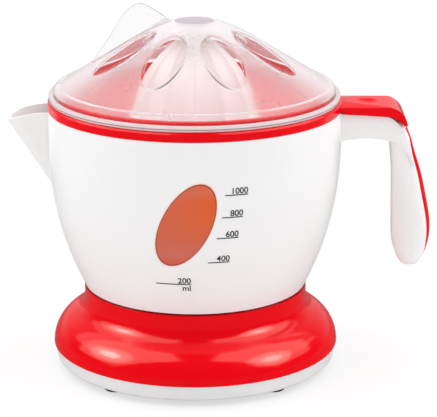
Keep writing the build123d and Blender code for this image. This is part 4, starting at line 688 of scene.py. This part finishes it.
# Floor of matte white paper: keeps the shadow round the juicer and runs out to plain white.
# Reflections show it dim, which keeps the red deep near the floor.
FLOOR_HALF = 3.0
FLOOR_CORNERS = ((-1, -1), (1, -1), (1, 1), (-1, 1))
SHADOW_REACH = (0.1, 0.3)
SHADOW_WHITE = 0.62
MIRRORED_WHITE = 0.12
floor_mesh = bpy.data.meshes.new("studio_floor")
corners = [(across * FLOOR_HALF, deep * FLOOR_HALF, 0) for across, deep in FLOOR_CORNERS]
floor_mesh.from_pydata(corners, [], [(0, 1, 2, 3)])
floor = new_object("studio_floor", floor_mesh)
paper, tree, output = new_material("paper_white_matte")
place = add_node(tree, "ShaderNodeTexCoord").outputs["Object"]
away = add_node(
    tree, "ShaderNodeVectorMath", {0: place, 1: (SPINDLE_X * MM, 0.0, 0.0)}, operation="DISTANCE",
)
fade = add_node(
    tree, "ShaderNodeMapRange",
    {"Value": away.outputs["Value"], "From Min": SHADOW_REACH[0], "From Max": SHADOW_REACH[1],
     "To Min": SHADOW_WHITE},
    interpolation_type="SMOOTHSTEP",
)
rays = add_node(tree, "ShaderNodeLightPath").outputs
direct = add_node(
    tree, "ShaderNodeMath", {0: rays["Is Camera Ray"], 1: rays["Is Transmission Ray"]},
    operation="MAXIMUM",
)
faint = add_node(
    tree, "ShaderNodeMath", {0: rays["Is Glossy Ray"], 1: MIRRORED_WHITE}, operation="MULTIPLY",
)
seen = add_node(
    tree, "ShaderNodeMath", {0: direct.outputs[0], 1: faint.outputs[0]}, operation="MAXIMUM",
)
share = add_node(
    tree, "ShaderNodeMath", {0: seen.outputs[0], 1: fade.outputs["Result"]}, operation="MULTIPLY",
)
tone = add_node(
    tree, "ShaderNodeMix", {0: rays["Is Glossy Ray"], 6: linear("f0f0f0"), 7: linear("505050")},
    data_type="RGBA",
)
matte = add_node(tree, "ShaderNodeBsdfDiffuse", {"Color": tone.outputs[2]})
plain = add_node(tree, "ShaderNodeEmission", {"Color": linear("ffffff"), "Strength": 1.0})
mixed = add_node(
    tree, "ShaderNodeMixShader", {0: share.outputs[0], 1: matte.outputs[0], 2: plain.outputs[0]},
)
tree.links.new(mixed.outputs[0], output.inputs["Surface"])
floor_mesh.materials.append(paper)

# Room: plain white where it is seen. Reflections show it dark behind the camera,
# so the red stays deep in front.
ROOM_LIGHT = 0.66
BACKDROP_HEADINGS = (0.35, 0.95)
BACKDROP_MIRRORED = (0.04, 0.6)
world = bpy.data.worlds.new("studio")
bpy.context.scene.world = world
world.use_nodes = True
tree = world.node_tree
tree.nodes.clear()
rays = add_node(tree, "ShaderNodeLightPath").outputs
heading = add_node(tree, "ShaderNodeTexCoord").outputs["Generated"]
ahead = add_node(tree, "ShaderNodeSeparateXYZ", {"Vector": heading}).outputs["Y"]
backdrop = add_node(
    tree, "ShaderNodeMapRange",
    {"Value": ahead, "From Min": BACKDROP_HEADINGS[0], "From Max": BACKDROP_HEADINGS[1],
     "To Min": BACKDROP_MIRRORED[0], "To Max": BACKDROP_MIRRORED[1]},
    interpolation_type="SMOOTHSTEP",
)
seen = add_node(
    tree, "ShaderNodeMath", {0: rays["Is Camera Ray"], 1: rays["Is Transmission Ray"]},
    operation="MAXIMUM",
)
mirrored = add_node(
    tree, "ShaderNodeMix", {0: rays["Is Glossy Ray"], 2: ROOM_LIGHT, 3: backdrop.outputs["Result"]},
)
strength = add_node(tree, "ShaderNodeMix", {0: seen.outputs[0], 2: mirrored.outputs[0], 3: 1.0})
room = add_node(
    tree, "ShaderNodeBackground", {"Color": linear("ffffff"), "Strength": strength.outputs[0]},
)
add_node(tree, "ShaderNodeOutputWorld", {"Surface": room.outputs[0]})

# Lamps: a big soft box leans in from each side, with a gap between them overhead.
# With each go a warm face, a glow and a small hot spot, which show in reflections
# and light nothing else.
# Places and aims of boxes and faces are those on the right, and mirrored for the left.
BOX_PLACE, BOX_AIM = (0.86, 0.05, 0.99), (0.24, 0.05, 0.0)
BOX_SIZE, BOX_LIGHT = (1.7, 1.4), 1.42
FACE_PLACE, FACE_AIM = (1.03, -0.15, 0.884), (0.41, -0.15, -0.106)
FACE_SIZE, FACE_LIGHT = (1.3, 1.8), 2.6
GLOW_SIZE, GLOW_LIGHT, GLOW_SETBACK = (0.8, 0.8), 5.0, 1.06
HOT_AIM, HOT_SIZE = (0.0, 0.0, 0.05), (0.36, 0.3)
WARM_FACE = linear("fffaea")[:3]
# Hot spots, by name, side, place and brightness
HOT_SPOTS = (
    ("left", -1, (-0.98, -0.156, 0.68), 15.0),
    ("right", 1, (0.95, -0.365, 0.66), 10.5),
)


def soft_lamp(name, place, aim, size, brightness, shape="RECTANGLE", mirrored_only=True):
    """Soft lamp that points at a place, by the brightness of its face."""
    lamp = bpy.data.lights.new(name, "AREA")
    lamp.shape = shape
    lamp.size, lamp.size_y = size
    lamp.energy = brightness * pi * size[0] * size[1]
    if mirrored_only:
        lamp.color = WARM_FACE
    stand = new_object(name, lamp)
    stand.location = place
    stand.rotation_euler = (Vector(aim) - Vector(place)).to_track_quat("-Z", "Y").to_euler()
    stand.visible_diffuse = stand.visible_transmission = not mirrored_only


def on_side(side, point):
    """A point on the right, or the one across from it on the left."""
    return (side * point[0], point[1], point[2])


for name, side, hot_place, spark in HOT_SPOTS:
    box_place, box_aim = on_side(side, BOX_PLACE), on_side(side, BOX_AIM)
    soft_lamp(f"soft_box_{name}", box_place, box_aim, BOX_SIZE, BOX_LIGHT, mirrored_only=False)
    face_place, face_aim = on_side(side, FACE_PLACE), on_side(side, FACE_AIM)
    soft_lamp(f"soft_box_face_{name}", face_place, face_aim, FACE_SIZE, FACE_LIGHT)
    glow_place = Vector(HOT_AIM).lerp(Vector(hot_place), GLOW_SETBACK)
    soft_lamp(f"glow_lamp_{name}", glow_place, HOT_AIM, GLOW_SIZE, GLOW_LIGHT, "ELLIPSE")
    soft_lamp(f"hot_lamp_{name}", hot_place, HOT_AIM, HOT_SIZE, spark, "ELLIPSE")

# Camera where the photograph was taken from: its place from the foot of the spindle,
# and how far it looks down, in radians
CAMERA_LENS = 161.5
CAMERA_SENSOR = 36.0
CAMERA_PLACE = (0.0133, -1.0686, 0.4032)
CAMERA_PITCH = 0.286
camera_data = bpy.data.cameras.new("camera")
camera_data.lens = CAMERA_LENS
camera_data.sensor_width = CAMERA_SENSOR
camera = new_object("camera", camera_data)
camera.location = (SPINDLE_X * MM + CAMERA_PLACE[0], CAMERA_PLACE[1], CAMERA_PLACE[2])
camera.rotation_euler = (pi / 2 - CAMERA_PITCH, 0.0, 0.0)
bpy.context.scene.camera = camera
bpy.context.scene.view_settings.view_transform = "Standard"
